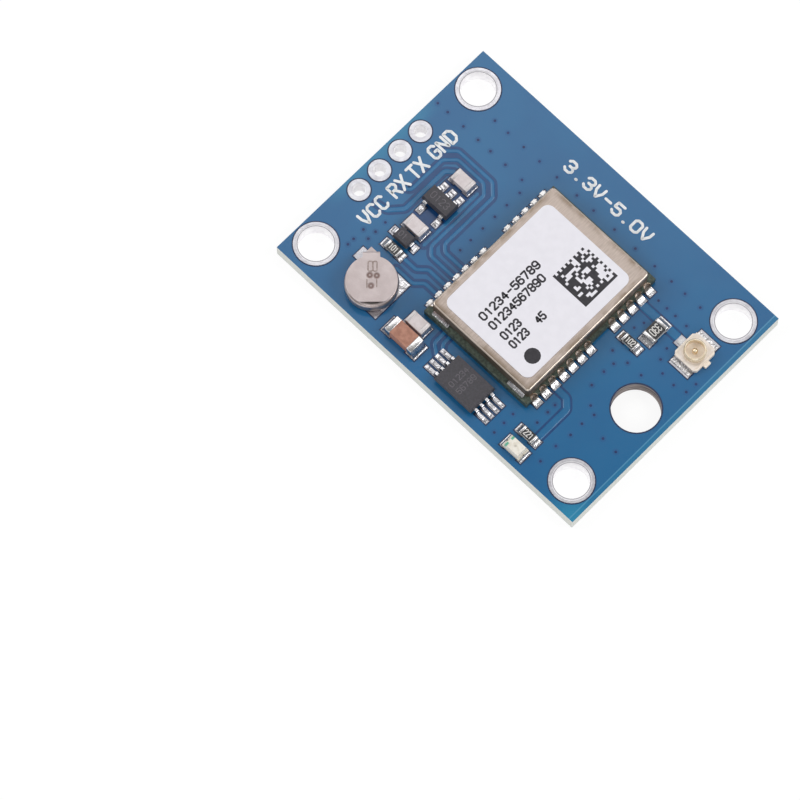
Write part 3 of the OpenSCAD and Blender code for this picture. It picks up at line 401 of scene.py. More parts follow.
@dataclass(frozen=True)
class MaskFinish:
    """Blue solder mask over copper, paler over bare laminate, with a cut laminate edge."""

    half_l: float
    half_w: float
    cable_hole: Place
    name: str = "blue_solder_mask"
    blue: str = "#1d6595"
    deep: str = "#1b6091"
    patches: Span = (0.35, 0.65)
    rough: Span = (0.13, 0.19)
    relief: float = 0.03
    cloud_part: float = 0.5
    fine_part: float = 0.02
    under: str = "#1f588b"
    facing_down: Span = (0.0, -0.5)
    under_part: float = 0.8
    teal: str = "#2a86ab"
    bare_end: Span = (0.42, 0.3)
    end_part: float = 0.35
    bare_corner: Span = (3.6, 0.4)
    corner_part: float = 0.95
    header_end: Span = (1.5, 0.2)
    header_half: Span = (7.5, 4.0)
    header_part: float = 0.55
    # painted highlight: a lighter line along the copper edge next to the bare band at the board end
    rim: str = "#5a9cbd"
    seam_from: Span = (0.34, 0.4)
    seam_to: Span = (0.5, 0.44)
    seam_part: float = 0.7
    edge: str = "#e4e5e0"
    edge_dark: str = "#c6cac3"
    edge_rough: float = 0.5
    weave: Place = (1.0, 1.0, 5.0)
    # painted shade: the drilled cable hole's wall is darker than the cut edge; its layering is the laminate's
    # own
    bore_painted_lighting: str = "#9a8f8b"
    bore_dark: str = "#453b40"
    layering: Place = (0.25, 0.25, 4.0)
    layers: Span = (0.4, 0.6)
    drilled: Span = (0.2, 0.1)

    def make(self) -> bpy.types.Material:
        """Build the node tree.

        Returns:
            The finished material.
        """
        net = Net(self.name)
        up = net.up()
        side = net.step(abs(up), UPRIGHT)
        cloud = net.noise(scale=0.16)
        fine = net.noise(scale=9.0, shift=3.0)
        face = net.mottle(cloud, self.deep, self.blue, self.patches)
        face = net.blend(net.step(up, self.facing_down) * self.under_part, face, rgb(self.under))
        face = self.add_bare_bands(net, face)
        return net.surface({
            "Base Color": net.blend(side, face, self.cut_edge(net)),
            "Roughness": net.between(fine, self.rough) + side * self.edge_rough,
            "Normal": net.bump(cloud * self.cloud_part + fine * self.fine_part, self.relief),
        })

    def add_bare_bands(self, net: Net, face: Value) -> Value:
        """Add the teal bands where no copper lies under the mask, and a painted highlight along the copper
        edge beside one of them.

        Args:
            net: tree of the material.
            face: colour of the mask over copper.

        Returns:
            The colour of the whole face.
        """
        x, y, _ = net.parts(net.place())
        to_end = self.half_l - x
        end = net.step(to_end, self.bare_end) * self.end_part
        corner = net.step(net.spot((self.half_l, -self.half_w)), self.bare_corner) * self.corner_part
        header = net.step(x + self.half_l, self.header_end) * net.step(abs(y), self.header_half)
        face = net.blend(end | corner | (header * self.header_part), face, rgb(self.teal))
        # painted highlight along the copper edge next to the bare band at the board end
        painted_copper_edge_highlight = net.step(to_end, self.seam_from) * net.step(to_end, self.seam_to)
        return net.blend(painted_copper_edge_highlight * self.seam_part, face, rgb(self.rim))

    def cut_edge(self, net: Net) -> Value:
        """Colour the cut edge, layered in the drilled cable hole and darker there with painted shade.

        Args:
            net: tree of the material.

        Returns:
            The colour of all upright faces.
        """
        weave = net.noise(scale=1.1, detail=3.0, stretch=self.weave, shift=9.0)
        wall = net.blend(weave, rgb(self.edge_dark), rgb(self.edge))
        layers = net.noise(scale=1.5, stretch=self.layering, shift=2.0)
        # painted shade inside the cable hole, over the laminate's layers
        bore_painted_lighting = net.mottle(layers, self.bore_dark, self.bore_painted_lighting, self.layers)
        hole_x, hole_y, hole_r = self.cable_hole
        return net.blend(net.step(net.spot((hole_x, hole_y)) - hole_r, self.drilled), wall, bore_painted_lighting)


@dataclass(frozen=True)
class CanFinish:
    """Drawn nickel-silver sheet with rolled streaks, brown stains near the edges, painted shade on its walls
    and a painted highlight on its top folds.
    """

    low: Vector
    high: Vector
    name: str = "drawn_shield_sheet"
    light: str = "#c9bbb2"
    dark: str = "#b3a49a"
    rolling: Place = (6.0, 0.35, 1.0)
    rough: Span = (0.26, 0.42)
    metal: float = 0.88
    relief: float = 0.012
    stain: str = "#7f6c56"
    stain_inset: Span = (0.75, 0.15)
    stain_patches: Span = (0.36, 0.62)
    stain_part: float = 0.7
    # painted shade: the upright walls are a darker brown, standing for the dark surroundings they reflect
    wall: str = "#7d6c5b"
    wall_lean: Span = (0.5, 0.2)
    painted_wall_shade_part: Span = (0.6, 1.0)
    wall_rough: float = 0.12
    # painted highlight: pale colour along the top folds
    painted_fold_highlight: str = "#efe2d4"
    fold_from: Span = (0.35, 0.6)
    fold_to: Span = (0.99, 0.9)
    fold_depth: float = 1.0
    painted_fold_highlight_part: float = 0.85

    def make(self) -> bpy.types.Material:
        """Build the node tree.

        Returns:
            The finished material.
        """
        net = Net(self.name)
        x, y, z = net.parts(net.place())
        up = abs(net.up())
        streak = net.noise(scale=2.2, detail=3.0, stretch=self.rolling)
        cloud = net.noise(scale=0.7, detail=4.0, shift=5.0)
        half, centre = (self.high - self.low) / 2, (self.high + self.low) / 2
        inset = (half.x - abs(x - centre.x)) & (half.y - abs(y - centre.y))
        stained = net.step(inset, self.stain_inset) * net.step(cloud, self.stain_patches)
        side = net.step(up, self.wall_lean)
        fold = net.step(up, self.fold_from) * net.step(up, self.fold_to)
        fold = fold * net.step(z, (self.high.z - self.fold_depth, self.high.z))
        colour = net.mottle(streak, self.dark, self.light)
        colour = net.blend(stained * self.stain_part, colour, rgb(self.stain))
        # painted shade on the upright walls
        colour = net.blend(side * net.between(cloud, self.painted_wall_shade_part), colour, rgb(self.wall))
        return net.surface({
            # painted highlight along the top folds
            "Base Color": net.blend(fold * self.painted_fold_highlight_part, colour, rgb(self.painted_fold_highlight)),
            "Roughness": net.between(streak, self.rough) + side * self.wall_rough,
            "Metallic": self.metal,
            "Normal": net.bump(streak, self.relief),
        })


@dataclass(frozen=True)
class HoleFinish:
    """Tinned ring; painted light makes the wall in its hole and a band of the ring beside it white, and a line
    of painted shade runs round the hole's lip.
    """

    name: str
    centres: tuple[Point, ...]
    band: float
    light: str = "#d8d7dc"
    dark: str = "#c8c6cc"
    spread: Span = (0.35, 0.65)
    rough: Span = (0.24, 0.38)
    relief: float = 0.02
    cloud_part: float = 0.7
    # painted light: the hole wall is near-white and dull instead of tin
    wall: str = "#fdfcfd"
    painted_bright_wall_dark: str = "#f3f1f4"
    wall_spread: Span = (0.3, 0.6)
    wall_rough: float = 0.3
    wall_dull: float = 0.85
    band_soft: float = 0.06
    painted_band_highlight_part: float = 0.8
    # painted shade: a darker line on the ring at the hole's lip
    painted_mouth_shade: str = "#9b98a0"
    mouth_in: float = 0.1
    mouth_soft: float = 0.03
    mouth_part: float = 0.8
    level: Span = (0.6, 0.8)

    def make(self) -> bpy.types.Material:
        """Build the node tree.

        Returns:
            The finished material.
        """
        net = Net(self.name)
        up = abs(net.up())
        cloud = net.noise(scale=1.3, detail=3.0)
        fine = net.noise(scale=6.0, shift=3.0)
        away = functools.reduce(operator.and_, [net.spot(centre) for centre in self.centres])
        # painted highlight: a band of the ring beside each hole is made as white as the wall
        bright = net.step(away, (self.band, self.band - self.band_soft)) * self.painted_band_highlight_part
        side = net.step(up, UPRIGHT) | bright
        # painted shade line on the flat ring just outside the hole
        mouth_r = self.band - self.mouth_in
        painted_mouth_shade = net.step(away, (mouth_r + self.mouth_soft, mouth_r)) & net.step(up, self.level)
        ring = net.mottle(cloud, self.dark, self.light, self.spread)
        # painted light: near-white hole wall
        bore_painted_lighting = net.mottle(cloud, self.painted_bright_wall_dark, self.wall, self.wall_spread)
        height = cloud * self.cloud_part + fine * (1.0 - self.cloud_part)
        return net.surface({
            "Base Color": net.blend(painted_mouth_shade * self.mouth_part, net.blend(side, ring, bore_painted_lighting), rgb(self.painted_mouth_shade)),
            "Roughness": net.between(fine, self.rough) + side * self.wall_rough,
            "Metallic": 1.0 - side * self.wall_dull,
            "Normal": net.bump(height * (1.0 - side), self.relief),
        })


@dataclass(frozen=True)
class JointFinish:
    """Solder that is bright on its pad and darker, as painted shade, in the dip at the receiver's socket-side
    edge.
    """

    edge_x: float
    name: str = "receiver_joint_solder"
    light: str = "#f1f0f1"
    dark: str = "#cfcdd0"
    spread: Span = (0.32, 0.66)
    rough: Span = (0.1, 0.22)
    relief: float = 0.07
    cloud_part: float = 0.7
    # painted shade: darker solder in the dip by the receiver's edge, standing for the dark can side that the
    # fillet reflects
    painted_hollow_shade: str = "#6b645c"
    hollow_out: Span = (0.2, 0.08)
    hollow_in: Span = (-0.26, -0.14)
    hollow_part: float = 0.9
    hollow_rough: float = 0.2

    def make(self) -> bpy.types.Material:
        """Build the node tree.

        Returns:
            The finished material.
        """
        net = Net(self.name)
        cloud = net.noise(scale=1.7, detail=3.0)
        fine = net.noise(scale=8.5, shift=7.0)
        out = net.parts(net.place())[0] - self.edge_x
        # painted shade in the dip by the receiver's edge
        painted_hollow_shade = net.step(out, self.hollow_out) & net.step(out, self.hollow_in)
        bright = net.mottle(cloud, self.dark, self.light, self.spread)
        return net.surface({
            "Base Color": net.blend(painted_hollow_shade * self.hollow_part, bright, rgb(self.painted_hollow_shade)),
            "Roughness": net.between(fine, self.rough) + painted_hollow_shade * self.hollow_rough,
            "Metallic": 1.0,
            "Normal": net.bump(cloud * self.cloud_part + fine * (1.0 - self.cloud_part), self.relief),
        })


@dataclass(frozen=True)
class SocketPinFinish:
    """Gold pin that turns to tinned metal at its soldered foot."""

    foot_top: float
    name: str = "gold_pin"
    light: str = "#f8ead0"
    dark: str = "#e6d0a6"
    tin: str = "#d2d0d0"
    tin_soft: float = 0.1
    rough: Span = (0.18, 0.32)
    relief: float = 0.01

    def make(self) -> bpy.types.Material:
        """Build the node tree.

        Returns:
            The finished material.
        """
        net = Net(self.name)
        z = net.parts(net.place())[2]
        cloud = net.noise(scale=3.0, detail=3.0)
        foot = net.step(z, (self.foot_top + self.tin_soft, self.foot_top))
        return net.surface({
            "Base Color": net.blend(foot, net.mottle(cloud, self.dark, self.light), rgb(self.tin)),
            "Roughness": net.between(cloud, self.rough),
            "Metallic": 1.0,
            "Normal": net.bump(cloud, self.relief),
        })


@dataclass(frozen=True)
class SocketShellFinish:
    """Pale gold flash on the socket's shell, covered with solder where its tabs meet the board."""

    tab_top: float
    name: str = "pale_gold_shell"
    light: str = "#f6ece4"
    dark: str = "#e8dbce"
    rough: Span = (0.34, 0.44)
    metal: Span = (0.5, 1.0)
    relief: float = 0.06
    tin: str = "#e8e6e6"
    tin_dark: str = "#bcb9ba"
    tin_spread: Span = (0.35, 0.65)
    tin_soft: float = 0.06
    tin_gloss: float = 0.2
    tin_grain: float = 0.8

    def make(self) -> bpy.types.Material:
        """Build the node tree.

        Returns:
            The finished material.
        """
        net = Net(self.name)
        z = net.parts(net.place())[2]
        cloud = net.noise(scale=2.4, detail=3.0)
        fine = net.noise(scale=5.0, shift=6.0)
        tab = net.step(z, (self.tab_top + self.tin_soft, self.tab_top))
        shell = net.mottle(cloud, self.dark, self.light)
        solder = net.mottle(fine, self.tin_dark, self.tin, self.tin_spread)
        height = fine * tab * self.tin_grain + cloud * (1.0 - self.tin_grain)
        return net.surface({
            "Base Color": net.blend(tab, shell, solder),
            "Roughness": net.between(cloud, self.rough) - tab * self.tin_gloss,
            "Metallic": net.between(tab, self.metal),
            "Normal": net.bump(height, self.relief),
        })


@dataclass(frozen=True)
class CellTabFinish:
    """Nickel tab with a matte face and heat rings of spot welds."""

    welds: tuple[Point, ...]
    name: str = "welded_cell_tab"
    light: str = "#d3c7c6"
    dark: str = "#c5b8b7"
    rough: Span = (0.36, 0.52)
    metal: float = 0.75
    relief: float = 0.03
    grain: Place = (1.0, 1.0, 0.3)
    grain_part: float = 0.3
    burn: str = "#5f3c2e"
    burn_part: Span = (0.5, 1.0)
    ring: float = 0.17
    ring_w: Span = (0.2, 0.02)

    def make(self) -> bpy.types.Material:
        """Build the node tree.

        Returns:
            The finished material.
        """
        net = Net(self.name)
        cloud = net.noise(scale=0.8, detail=3.0)
        fine = net.noise(scale=7.0, stretch=self.grain, shift=2.0)
        rings = [net.step(abs(net.spot(centre) - self.ring), self.ring_w) for centre in self.welds]
        burnt = functools.reduce(operator.or_, rings)
        tab = net.mottle(cloud, self.dark, self.light)
        return net.surface({
            "Base Color": net.blend(burnt * net.between(cloud, self.burn_part), tab, rgb(self.burn)),
            "Roughness": net.between(fine, self.rough),
            "Metallic": self.metal,
            "Normal": net.bump(fine * self.grain_part - burnt * (1.0 - self.grain_part), self.relief),
        })


@dataclass(frozen=True)
class LensFinish:
    """Milky resin over a small dark die, with green bond marks toward one end."""

    centre: Point
    half_l: float
    name: str = "milky_lens"
    resin: str = "#f6f1e6"
    shade: str = "#e6dfd0"
    rough: Span = (0.2, 0.35)
    coat: float = 0.3
    relief: float = 0.01
    die: str = "#8f8a80"
    die_r: Span = (0.16, 0.06)
    die_part: float = 0.4
    mark: str = "#4fae8e"
    mark_end: Span = (0.58, 0.7)
    mark_y: float = 0.38
    mark_half: Span = (0.24, 0.14)
    mark_part: float = 0.95

    def make(self) -> bpy.types.Material:
        """Build the node tree.

        Returns:
            The finished material.
        """
        net = Net(self.name)
        x, y, _ = net.parts(net.place())
        cloud = net.noise(scale=2.5, detail=3.0)
        colour = net.mottle(cloud, self.shade, self.resin)
        colour = net.blend(net.step(net.spot(self.centre), self.die_r) * self.die_part, colour, rgb(self.die))
        end = net.step(self.centre[0] - x, (self.half_l * self.mark_end[0], self.half_l * self.mark_end[1]))
        patch = net.step(abs(abs(y - self.centre[1]) - self.mark_y), self.mark_half)
        return net.surface({
            "Base Color": net.blend(end * patch * self.mark_part, colour, rgb(self.mark)),
            "Roughness": net.between(cloud, self.rough),
            "Coat Weight": self.coat,
            "Normal": net.bump(cloud, self.relief),
        })


@dataclass(frozen=True)
class PadFinish:
    """Large tinned pads, mottled by hot-air levelling, with dull stains near one side."""

    upper: float
    name: str = "levelled_tin"
    light: str = "#cfcdd2"
    dark: str = "#a9a7ad"
    spread: Span = (0.35, 0.65)
    rough: Span = (0.3, 0.5)
    metal: float = 0.8
    relief: float = 0.03
    stain: str = "#5f5c60"
    stain_shape: Place = (1.0, 1.8, 1.0)
    stain_patches: Span = (0.52, 0.6)
    stain_reach: Span = (-2.4, -0.6)
    stain_part: float = 0.8
    stain_rough: float = 0.2

    def make(self) -> bpy.types.Material:
        """Build the node tree.

        Returns:
            The finished material.
        """
        net = Net(self.name)
        y = net.parts(net.place())[1]
        cloud = net.noise(scale=1.2, detail=4.0)
        blot = net.noise(scale=0.9, detail=4.0, stretch=self.stain_shape, shift=6.0)
        dull = net.step(blot, self.stain_patches) * net.step(y - self.upper, self.stain_reach)
        tin = net.mottle(cloud, self.dark, self.light, self.spread)
        return net.surface({
            "Base Color": net.blend(dull * self.stain_part, tin, rgb(self.stain)),
            "Roughness": net.between(cloud, self.rough) + dull * self.stain_rough,
            "Metallic": self.metal,
            "Normal": net.bump(cloud, self.relief),
        })


class Tree(Nodes):
    """A Geometry Nodes tree with named inputs."""

    def __init__(self, name: str) -> None:
        """Start a tree that takes and gives geometry.

        Args:
            name: name of the tree.
        """
        super().__init__(bpy.data.node_groups.new(name, "GeometryNodeTree"))
        self.idents: dict[str, str] = {}
        for way in ("INPUT", "OUTPUT"):
            self.tree.interface.new_socket("Geometry", in_out=way, socket_type="NodeSocketGeometry")
        self.inlet = self.node("NodeGroupInput", {}, {})

    def give(self, name: str, kind: str = "NodeSocketFloat") -> bpy.types.NodeSocket:
        """Add a named input.

        Args:
            name: the input's name.
            kind: its socket type.

        Returns:
            The socket inside the tree.
        """
        item = self.tree.interface.new_socket(name, in_out="INPUT", socket_type=kind)
        self.idents[name] = item.identifier
        return next(s for s in self.inlet.outputs if s.identifier == item.identifier)

    def scatter(self, shape: bpy.types.Node, sockets: dict[str, Any]) -> bpy.types.NodeSocket:
        """Set a shape on every point of the mesh that the tree starts from.

        Args:
            shape: node that makes the shape.
            sockets: further inputs of the node that sets the shapes.

        Returns:
            The set shapes.
        """
        points = self.node("GeometryNodeMeshToPoints", {}, {"Mesh": self.inlet.outputs[0]})
        return self.node("GeometryNodeInstanceOnPoints", {},
                         {"Points": points.outputs[0], "Instance": shape.outputs[0], **sockets}).outputs[0]

    def close(self, geometry: bpy.types.NodeSocket, smooth: bool = False) -> None:
        """Realize the geometry, give it the material input and end the tree.

        Args:
            geometry: what the tree made.
            smooth: whether its faces are shaded smooth.
        """
        material = self.give("Material", "NodeSocketMaterial")
        real = self.node("GeometryNodeRealizeInstances", {}, {"Geometry": geometry})
        shaded = self.node("GeometryNodeSetShadeSmooth", {},
                           {"Geometry": real.outputs[0], "Shade Smooth": smooth})
        dressed = self.node("GeometryNodeSetMaterial", {},
                            {"Geometry": shaded.outputs[0], "Material": material})
        self.node("NodeGroupOutput", {}, {0: dressed.outputs[0]})

    def grow(self, name: str, source: bpy.types.Mesh, inputs: dict[str, Any]) -> bpy.types.Object:
        """Run the tree on a mesh and keep the result as a plain mesh.

        Args:
            name: name of the piece.
            source: mesh that the tree starts from.
            inputs: values of the named inputs.

        Returns:
            The piece, with no modifier left on it.
        """
        piece = bpy.data.objects.new(name, source)
        bpy.context.scene.collection.objects.link(piece)
        modifier = piece.modifiers.new(name, "NODES")
        modifier.node_group = self.tree
        for key, value in inputs.items():
            modifier[self.idents[key]] = value
        graph = bpy.context.evaluated_depsgraph_get()
        grown = bpy.data.meshes.new_from_object(piece.evaluated_get(graph), depsgraph=graph)
        piece.modifiers.remove(modifier)
        piece.data = grown
        grown.name = name
        return piece


class StrokeTree(Tree):
    """Turns lines of points into flat strokes with round ends and rounded corners."""

    corner_steps = 3
    end_sides = 12
    end_height = 0.96

    def __init__(self) -> None:
        """Build the tree."""
        super().__init__("round_strokes")
        width, crest = self.give("Width"), self.give("Crest")
        height, corner = self.give("Height"), self.give("Corner")
        curve = self.node("GeometryNodeMeshToCurve", {}, {"Mesh": self.inlet.outputs[0]})
        soft = self.node("GeometryNodeFilletCurve", {"mode": "POLY"},
                         {"Curve": curve.outputs[0], "Count": self.corner_steps, "Radius": corner,
                          "Limit Radius": True})
        level = self.node("GeometryNodeSetCurveNormal", {"mode": "Z_UP"}, {"Curve": soft.outputs[0]})
        section = self.node("GeometryNodeCurvePrimitiveQuadrilateral", {"mode": "TRAPEZOID"},
                            {"Height": height, "Bottom Width": crest, "Top Width": width, "Offset": 0.0})
        bar = self.node("GeometryNodeCurveToMesh", {},
                        {"Curve": level.outputs[0], "Profile Curve": section.outputs[0],
                         "Fill Caps": True})
        half = self.node("ShaderNodeMath", {"operation": "MULTIPLY"}, {0: crest, 1: 0.5})
        lower = self.node("ShaderNodeMath", {"operation": "MULTIPLY"}, {0: height, 1: self.end_height})
        disc = self.node("GeometryNodeMeshCylinder", {},
                         {"Vertices": self.end_sides, "Radius": half.outputs[0], "Depth": lower.outputs[0]})
        ends = self.node("GeometryNodeCurveEndpointSelection", {}, {})
        caps = self.node("GeometryNodeInstanceOnPoints", {},
                         {"Points": level.outputs[0], "Selection": ends.outputs[0],
                          "Instance": disc.outputs[0]})
        both = self.node("GeometryNodeJoinGeometry", {}, {0: [bar.outputs[0], caps.outputs[0]]})
        self.close(both.outputs[0])


class SpotTree(Tree):
    """Sets a low round spot on every point."""

    sides = 16

    def __init__(self) -> None:
        """Build the tree."""
        super().__init__("round_spots")
        radius, height = self.give("Radius"), self.give("Height")
        disc = self.node("GeometryNodeMeshCylinder", {},
                         {"Vertices": self.sides, "Radius": radius, "Depth": height})
        self.close(self.scatter(disc, {}))


class BeadTree(Tree):
    """Sets a soft block, as wide as twice its size, on every point."""

    levels = 3
    crease = 0.62

    def __init__(self) -> None:
        """Build the tree."""
        super().__init__("round_beads")
        size = self.give("Size", "NodeSocketVector")
        block = self.node("GeometryNodeMeshCube", {}, {"Size": (2.0, 2.0, 2.0)})
        soft = self.node("GeometryNodeSubdivisionSurface", {},
                         {"Mesh": block.outputs[0], "Level": self.levels, "Edge Crease": self.crease})
        self.close(self.scatter(soft, {"Scale": size}), smooth=True)


class CodeTree(Tree):
    """Sets a square print cell on a random half of the given points."""

    def __init__(self) -> None:
        """Build the tree."""
        super().__init__("random_print_cells")
        cell, height, share = self.give("Cell"), self.give("Height"), self.give("Share")
        seed = self.give("Seed", "NodeSocketInt")
        size = self.node("ShaderNodeCombineXYZ", {}, {0: cell, 1: cell, 2: height})
        block = self.node("GeometryNodeMeshCube", {}, {"Size": size.outputs[0]})
        chance = self.node("FunctionNodeRandomValue", {"data_type": "BOOLEAN"},
                           {"Probability": share, "Seed": seed})
        chosen = next(s for s in chance.outputs if s.type == "BOOLEAN")
        self.close(self.scatter(block, {"Selection": chosen}))


def line_mesh(name: str, paths: Sequence[Path], level: float) -> bpy.types.Mesh:
    """Make a mesh of open or closed lines.

    Args:
        name: name of the mesh.
        paths: lines of points in millimetres; a line that ends where it starts is closed.
        level: height of the lines in millimetres.

    Returns:
        A mesh of edges, in metres.
    """
    points: list[Place] = []
    edges: list[tuple[int, int]] = []
    for layer, path in enumerate(paths):
        height = level + layer % LAYERS * LAYER_RISE
        closed = path[0] == path[-1] and len(path) > 2
        own = path[:-1] if closed else path
        first = len(points)
        points += [(x * MM, y * MM, height * MM) for x, y in own]
        edges += [(first + i, first + i + 1) for i in range(len(own) - 1)]
        if closed:
            edges.append((len(points) - 1, first))
    mesh = bpy.data.meshes.new(name)
    mesh.from_pydata(points, edges, [])
    return mesh


def point_mesh(name: str, points: Sequence[Point], level: float) -> bpy.types.Mesh:
    """Make a mesh of loose points.

    Args:
        name: name of the mesh.
        points: places in millimetres.
        level: height of the points in millimetres.

    Returns:
        A mesh of points, in metres.
    """
    mesh = bpy.data.meshes.new(name)
    mesh.from_pydata([(x * MM, y * MM, level * MM) for x, y in points], [], [])
    return mesh


class Reading(Enum):
    """Direction in which a line of print reads: along, then up."""

    ALONG_X = ((1.0, 0.0), (0.0, 1.0))
    ALONG_Y = ((0.0, 1.0), (-1.0, 0.0))
    AGAINST_Y = ((0.0, -1.0), (1.0, 0.0))


GLYPH_W = 4.0
GLYPH_H = 6.0
GLYPHS: dict[str, list[Path]] = {
    "0": [[(1, 0), (3, 0), (4, 1), (4, 5), (3, 6), (1, 6), (0, 5), (0, 1), (1, 0)]],
    "1": [[(1, 5), (2.2, 6), (2.2, 0)]],
    "2": [[(0, 5), (1, 6), (3, 6), (4, 5), (4, 4), (0, 0), (4, 0)]],
    "3": [[(0, 5), (1, 6), (3, 6), (4, 5), (4, 4), (3, 3), (4, 2), (4, 1), (3, 0), (1, 0), (0, 1)],
          [(1.5, 3), (3, 3)]],
    "4": [[(3, 0), (3, 6), (0, 2), (4, 2)]],
    "5": [[(4, 6), (0.3, 6), (0, 3.4), (3, 3.6), (4, 2.6), (4, 1), (3, 0), (1, 0), (0, 1)]],
    "6": [[(4, 5), (3, 6), (1, 6), (0, 5), (0, 1), (1, 0), (3, 0), (4, 1), (4, 2.5), (3, 3.5), (0, 3.5)]],
    "7": [[(0, 6), (4, 6), (1.5, 0)]],
    "8": [[(1, 3), (0, 4), (0, 5), (1, 6), (3, 6), (4, 5), (4, 4), (3, 3), (1, 3)],
          [(1, 3), (0, 2), (0, 1), (1, 0), (3, 0), (4, 1), (4, 2), (3, 3)]],
    "9": [[(0, 1), (1, 0), (3, 0), (4, 1), (4, 5), (3, 6), (1, 6), (0, 5), (0, 3.5), (1, 2.5), (4, 2.5)]],
    "V": [[(0, 6), (0.2, 3.4), (2, 0), (3.8, 3.4), (4, 6)]],
    "C": [[(4, 5), (3, 6), (1, 6), (0, 5), (0, 1), (1, 0), (3, 0), (4, 1)]],
    "R": [[(0, 0), (0, 6), (3, 6), (4, 5), (4, 4), (3, 3), (0, 3)], [(2, 3), (4, 0)]],
    "X": [[(0, 6), (4, 0)], [(0, 0), (4, 6)]],
    "T": [[(0, 6), (4, 6)], [(2, 6), (2, 0)]],
    "G": [[(4, 5), (3, 6), (1, 6), (0, 5), (0, 1), (1, 0), (3, 0), (4, 1), (4, 3), (2.4, 3)]],
    "N": [[(0, 0), (0, 6), (4, 0), (4, 6)]],
    "D": [[(0, 0), (0, 6), (2.5, 6), (4, 4.5), (4, 1.5), (2.5, 0), (0, 0)]],
    ".": [[(1.8, 0), (2.2, 0)]],
    "-": [[(0.5, 3), (3.5, 3)]],
    " ": [],
}


def letter_paths(text: str, start: Point, reading: Reading, height: float, length: float,
                 gap: float = 0.3) -> list[Path]:
    """Lay out a line of plain stroke lettering.

    Args:
        text: characters of the stroke alphabet.
        start: lower corner where the line starts, in millimetres.
        reading: direction of the line.
        height: height of the characters.
        length: length of the whole line.
        gap: space between characters as a share of their pitch.

    Returns:
        One path for each stroke.
    """
    (along_x, along_y), (up_x, up_y) = reading.value
    pitch = length / (len(text) - gap)
    wide = pitch * (1.0 - gap) / GLYPH_W
    tall = height / GLYPH_H
    paths: list[Path] = []
    for i, character in enumerate(text):
        for stroke in GLYPHS[character]:
            path = []
            for gx, gy in stroke:
                a, u = i * pitch + gx * wide, gy * tall
                path.append((start[0] + a * along_x + u * up_x, start[1] + a * along_y + u * up_y))
            paths.append(path)
    return paths


@dataclass
class Kit:
    """The node trees that all sub-assemblies share."""

    stroke: StrokeTree = field(default_factory=StrokeTree)
    spot: SpotTree = field(default_factory=SpotTree)
    bead: BeadTree = field(default_factory=BeadTree)
    code: CodeTree = field(default_factory=CodeTree)

    def keep(self, piece: bpy.types.Object) -> None:
        """Let a piece ride on the board and log its face count.

        Args:
            piece: finished piece.
        """
        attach(piece, BODY)
        LOG.info("piece %s: %d faces", piece.name, len(piece.data.polygons))

    def strokes(self, name: str, paths: Sequence[Path], level: float, width: float, height: float,
                material: bpy.types.Material, corner: float = 0.0,
                slope: float = 0.0) -> None:
        """Make one piece of strokes that lie on a surface.

        Args:
            name: name of the piece.
            paths: middle lines in millimetres.
            level: middle of the strokes' thickness, in millimetres.
            width: width of a stroke.
            height: thickness of a stroke.
            material: finish of the strokes.
            corner: radius of the rounded corners.
            slope: how much narrower a stroke is at its crest.
        """
        piece = self.stroke.grow(name, line_mesh(name, paths, level),
                                 {"Width": width * MM, "Crest": (width - slope) * MM,
                                  "Height": height * MM, "Corner": corner * MM, "Material": material})
        self.keep(piece)

    def spots(self, name: str, points: Sequence[Point], level: float, radius: float, height: float,
              material: bpy.types.Material) -> None:
        """Make one piece of round spots that lie on a surface.

        Args:
            name: name of the piece.
            points: places in millimetres.
            level: middle of the spots' thickness, in millimetres.
            radius: radius of a spot.
            height: thickness of a spot.
            material: finish of the spots.
        """
        piece = self.spot.grow(name, point_mesh(name, points, level),
                               {"Radius": radius * MM, "Height": height * MM, "Material": material})
        self.keep(piece)

    def stand_in(self, name: str, shape: bmesh.types.BMesh, node: str) -> None:
        """Make a piece that stands for a node and has its finish.

        Args:
            name: name of the piece.
            shape: its shape, which is used up.
            node: node that it stands for.
        """
        mesh = bpy.data.meshes.new(name)
        shape.to_mesh(mesh)
        shape.free()
        mesh.materials.clear()
        mesh.materials.append(bpy.data.objects[node].data.materials[0])
        piece = bpy.data.objects.new(name, mesh)
        bpy.context.scene.collection.objects.link(piece)
        self.keep(piece)
        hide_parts(node)


def corners(node: str) -> tuple[Vector, Vector]:
    """Return a node's lowest and highest corners in millimetres."""
    low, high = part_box(node)
    return low * PER_MM, high * PER_MM


def solid_boxes(node: str) -> list[tuple[Vector, Vector]]:
    """Return the box of every separate solid of a node.

    Args:
        node: name of the node.

    Returns:
        Lowest and highest corners in millimetres.
    """
    mesh = bmesh.new()
    mesh.from_mesh(bpy.data.objects[node].data)
    bmesh.ops.remove_doubles(mesh, verts=mesh.verts, dist=WELD)
    left = set(mesh.verts)
    boxes: list[tuple[Vector, Vector]] = []
    while left:
        ends = [left.pop()]
        solid = list(ends)
        while ends:
            point = ends.pop()
            near = {edge.other_vert(point) for edge in point.link_edges} & left
            ends.extend(near)
            solid.extend(near)
            left -= near
        boxes.append((Vector([min(v.co[i] for v in solid) * PER_MM for i in range(3)]),
                      Vector([max(v.co[i] for v in solid) * PER_MM for i in range(3)])))
    mesh.free()
    return sorted(boxes, key=lambda box: tuple(box[0]))


def centre_of(low: Vector, high: Vector) -> Point:
    """Return the middle of a box in plan."""
    return (low.x + high.x) / 2, (low.y + high.y) / 2


def middle(node: str) -> Point:
    """Return the middle of a node in plan, in millimetres."""
    return centre_of(*corners(node))


@dataclass
class TrackGroup:
    """Tracks of one width."""

    name: str
    width: float
    channel: float
    paths: tuple[tuple[Point, ...], ...]


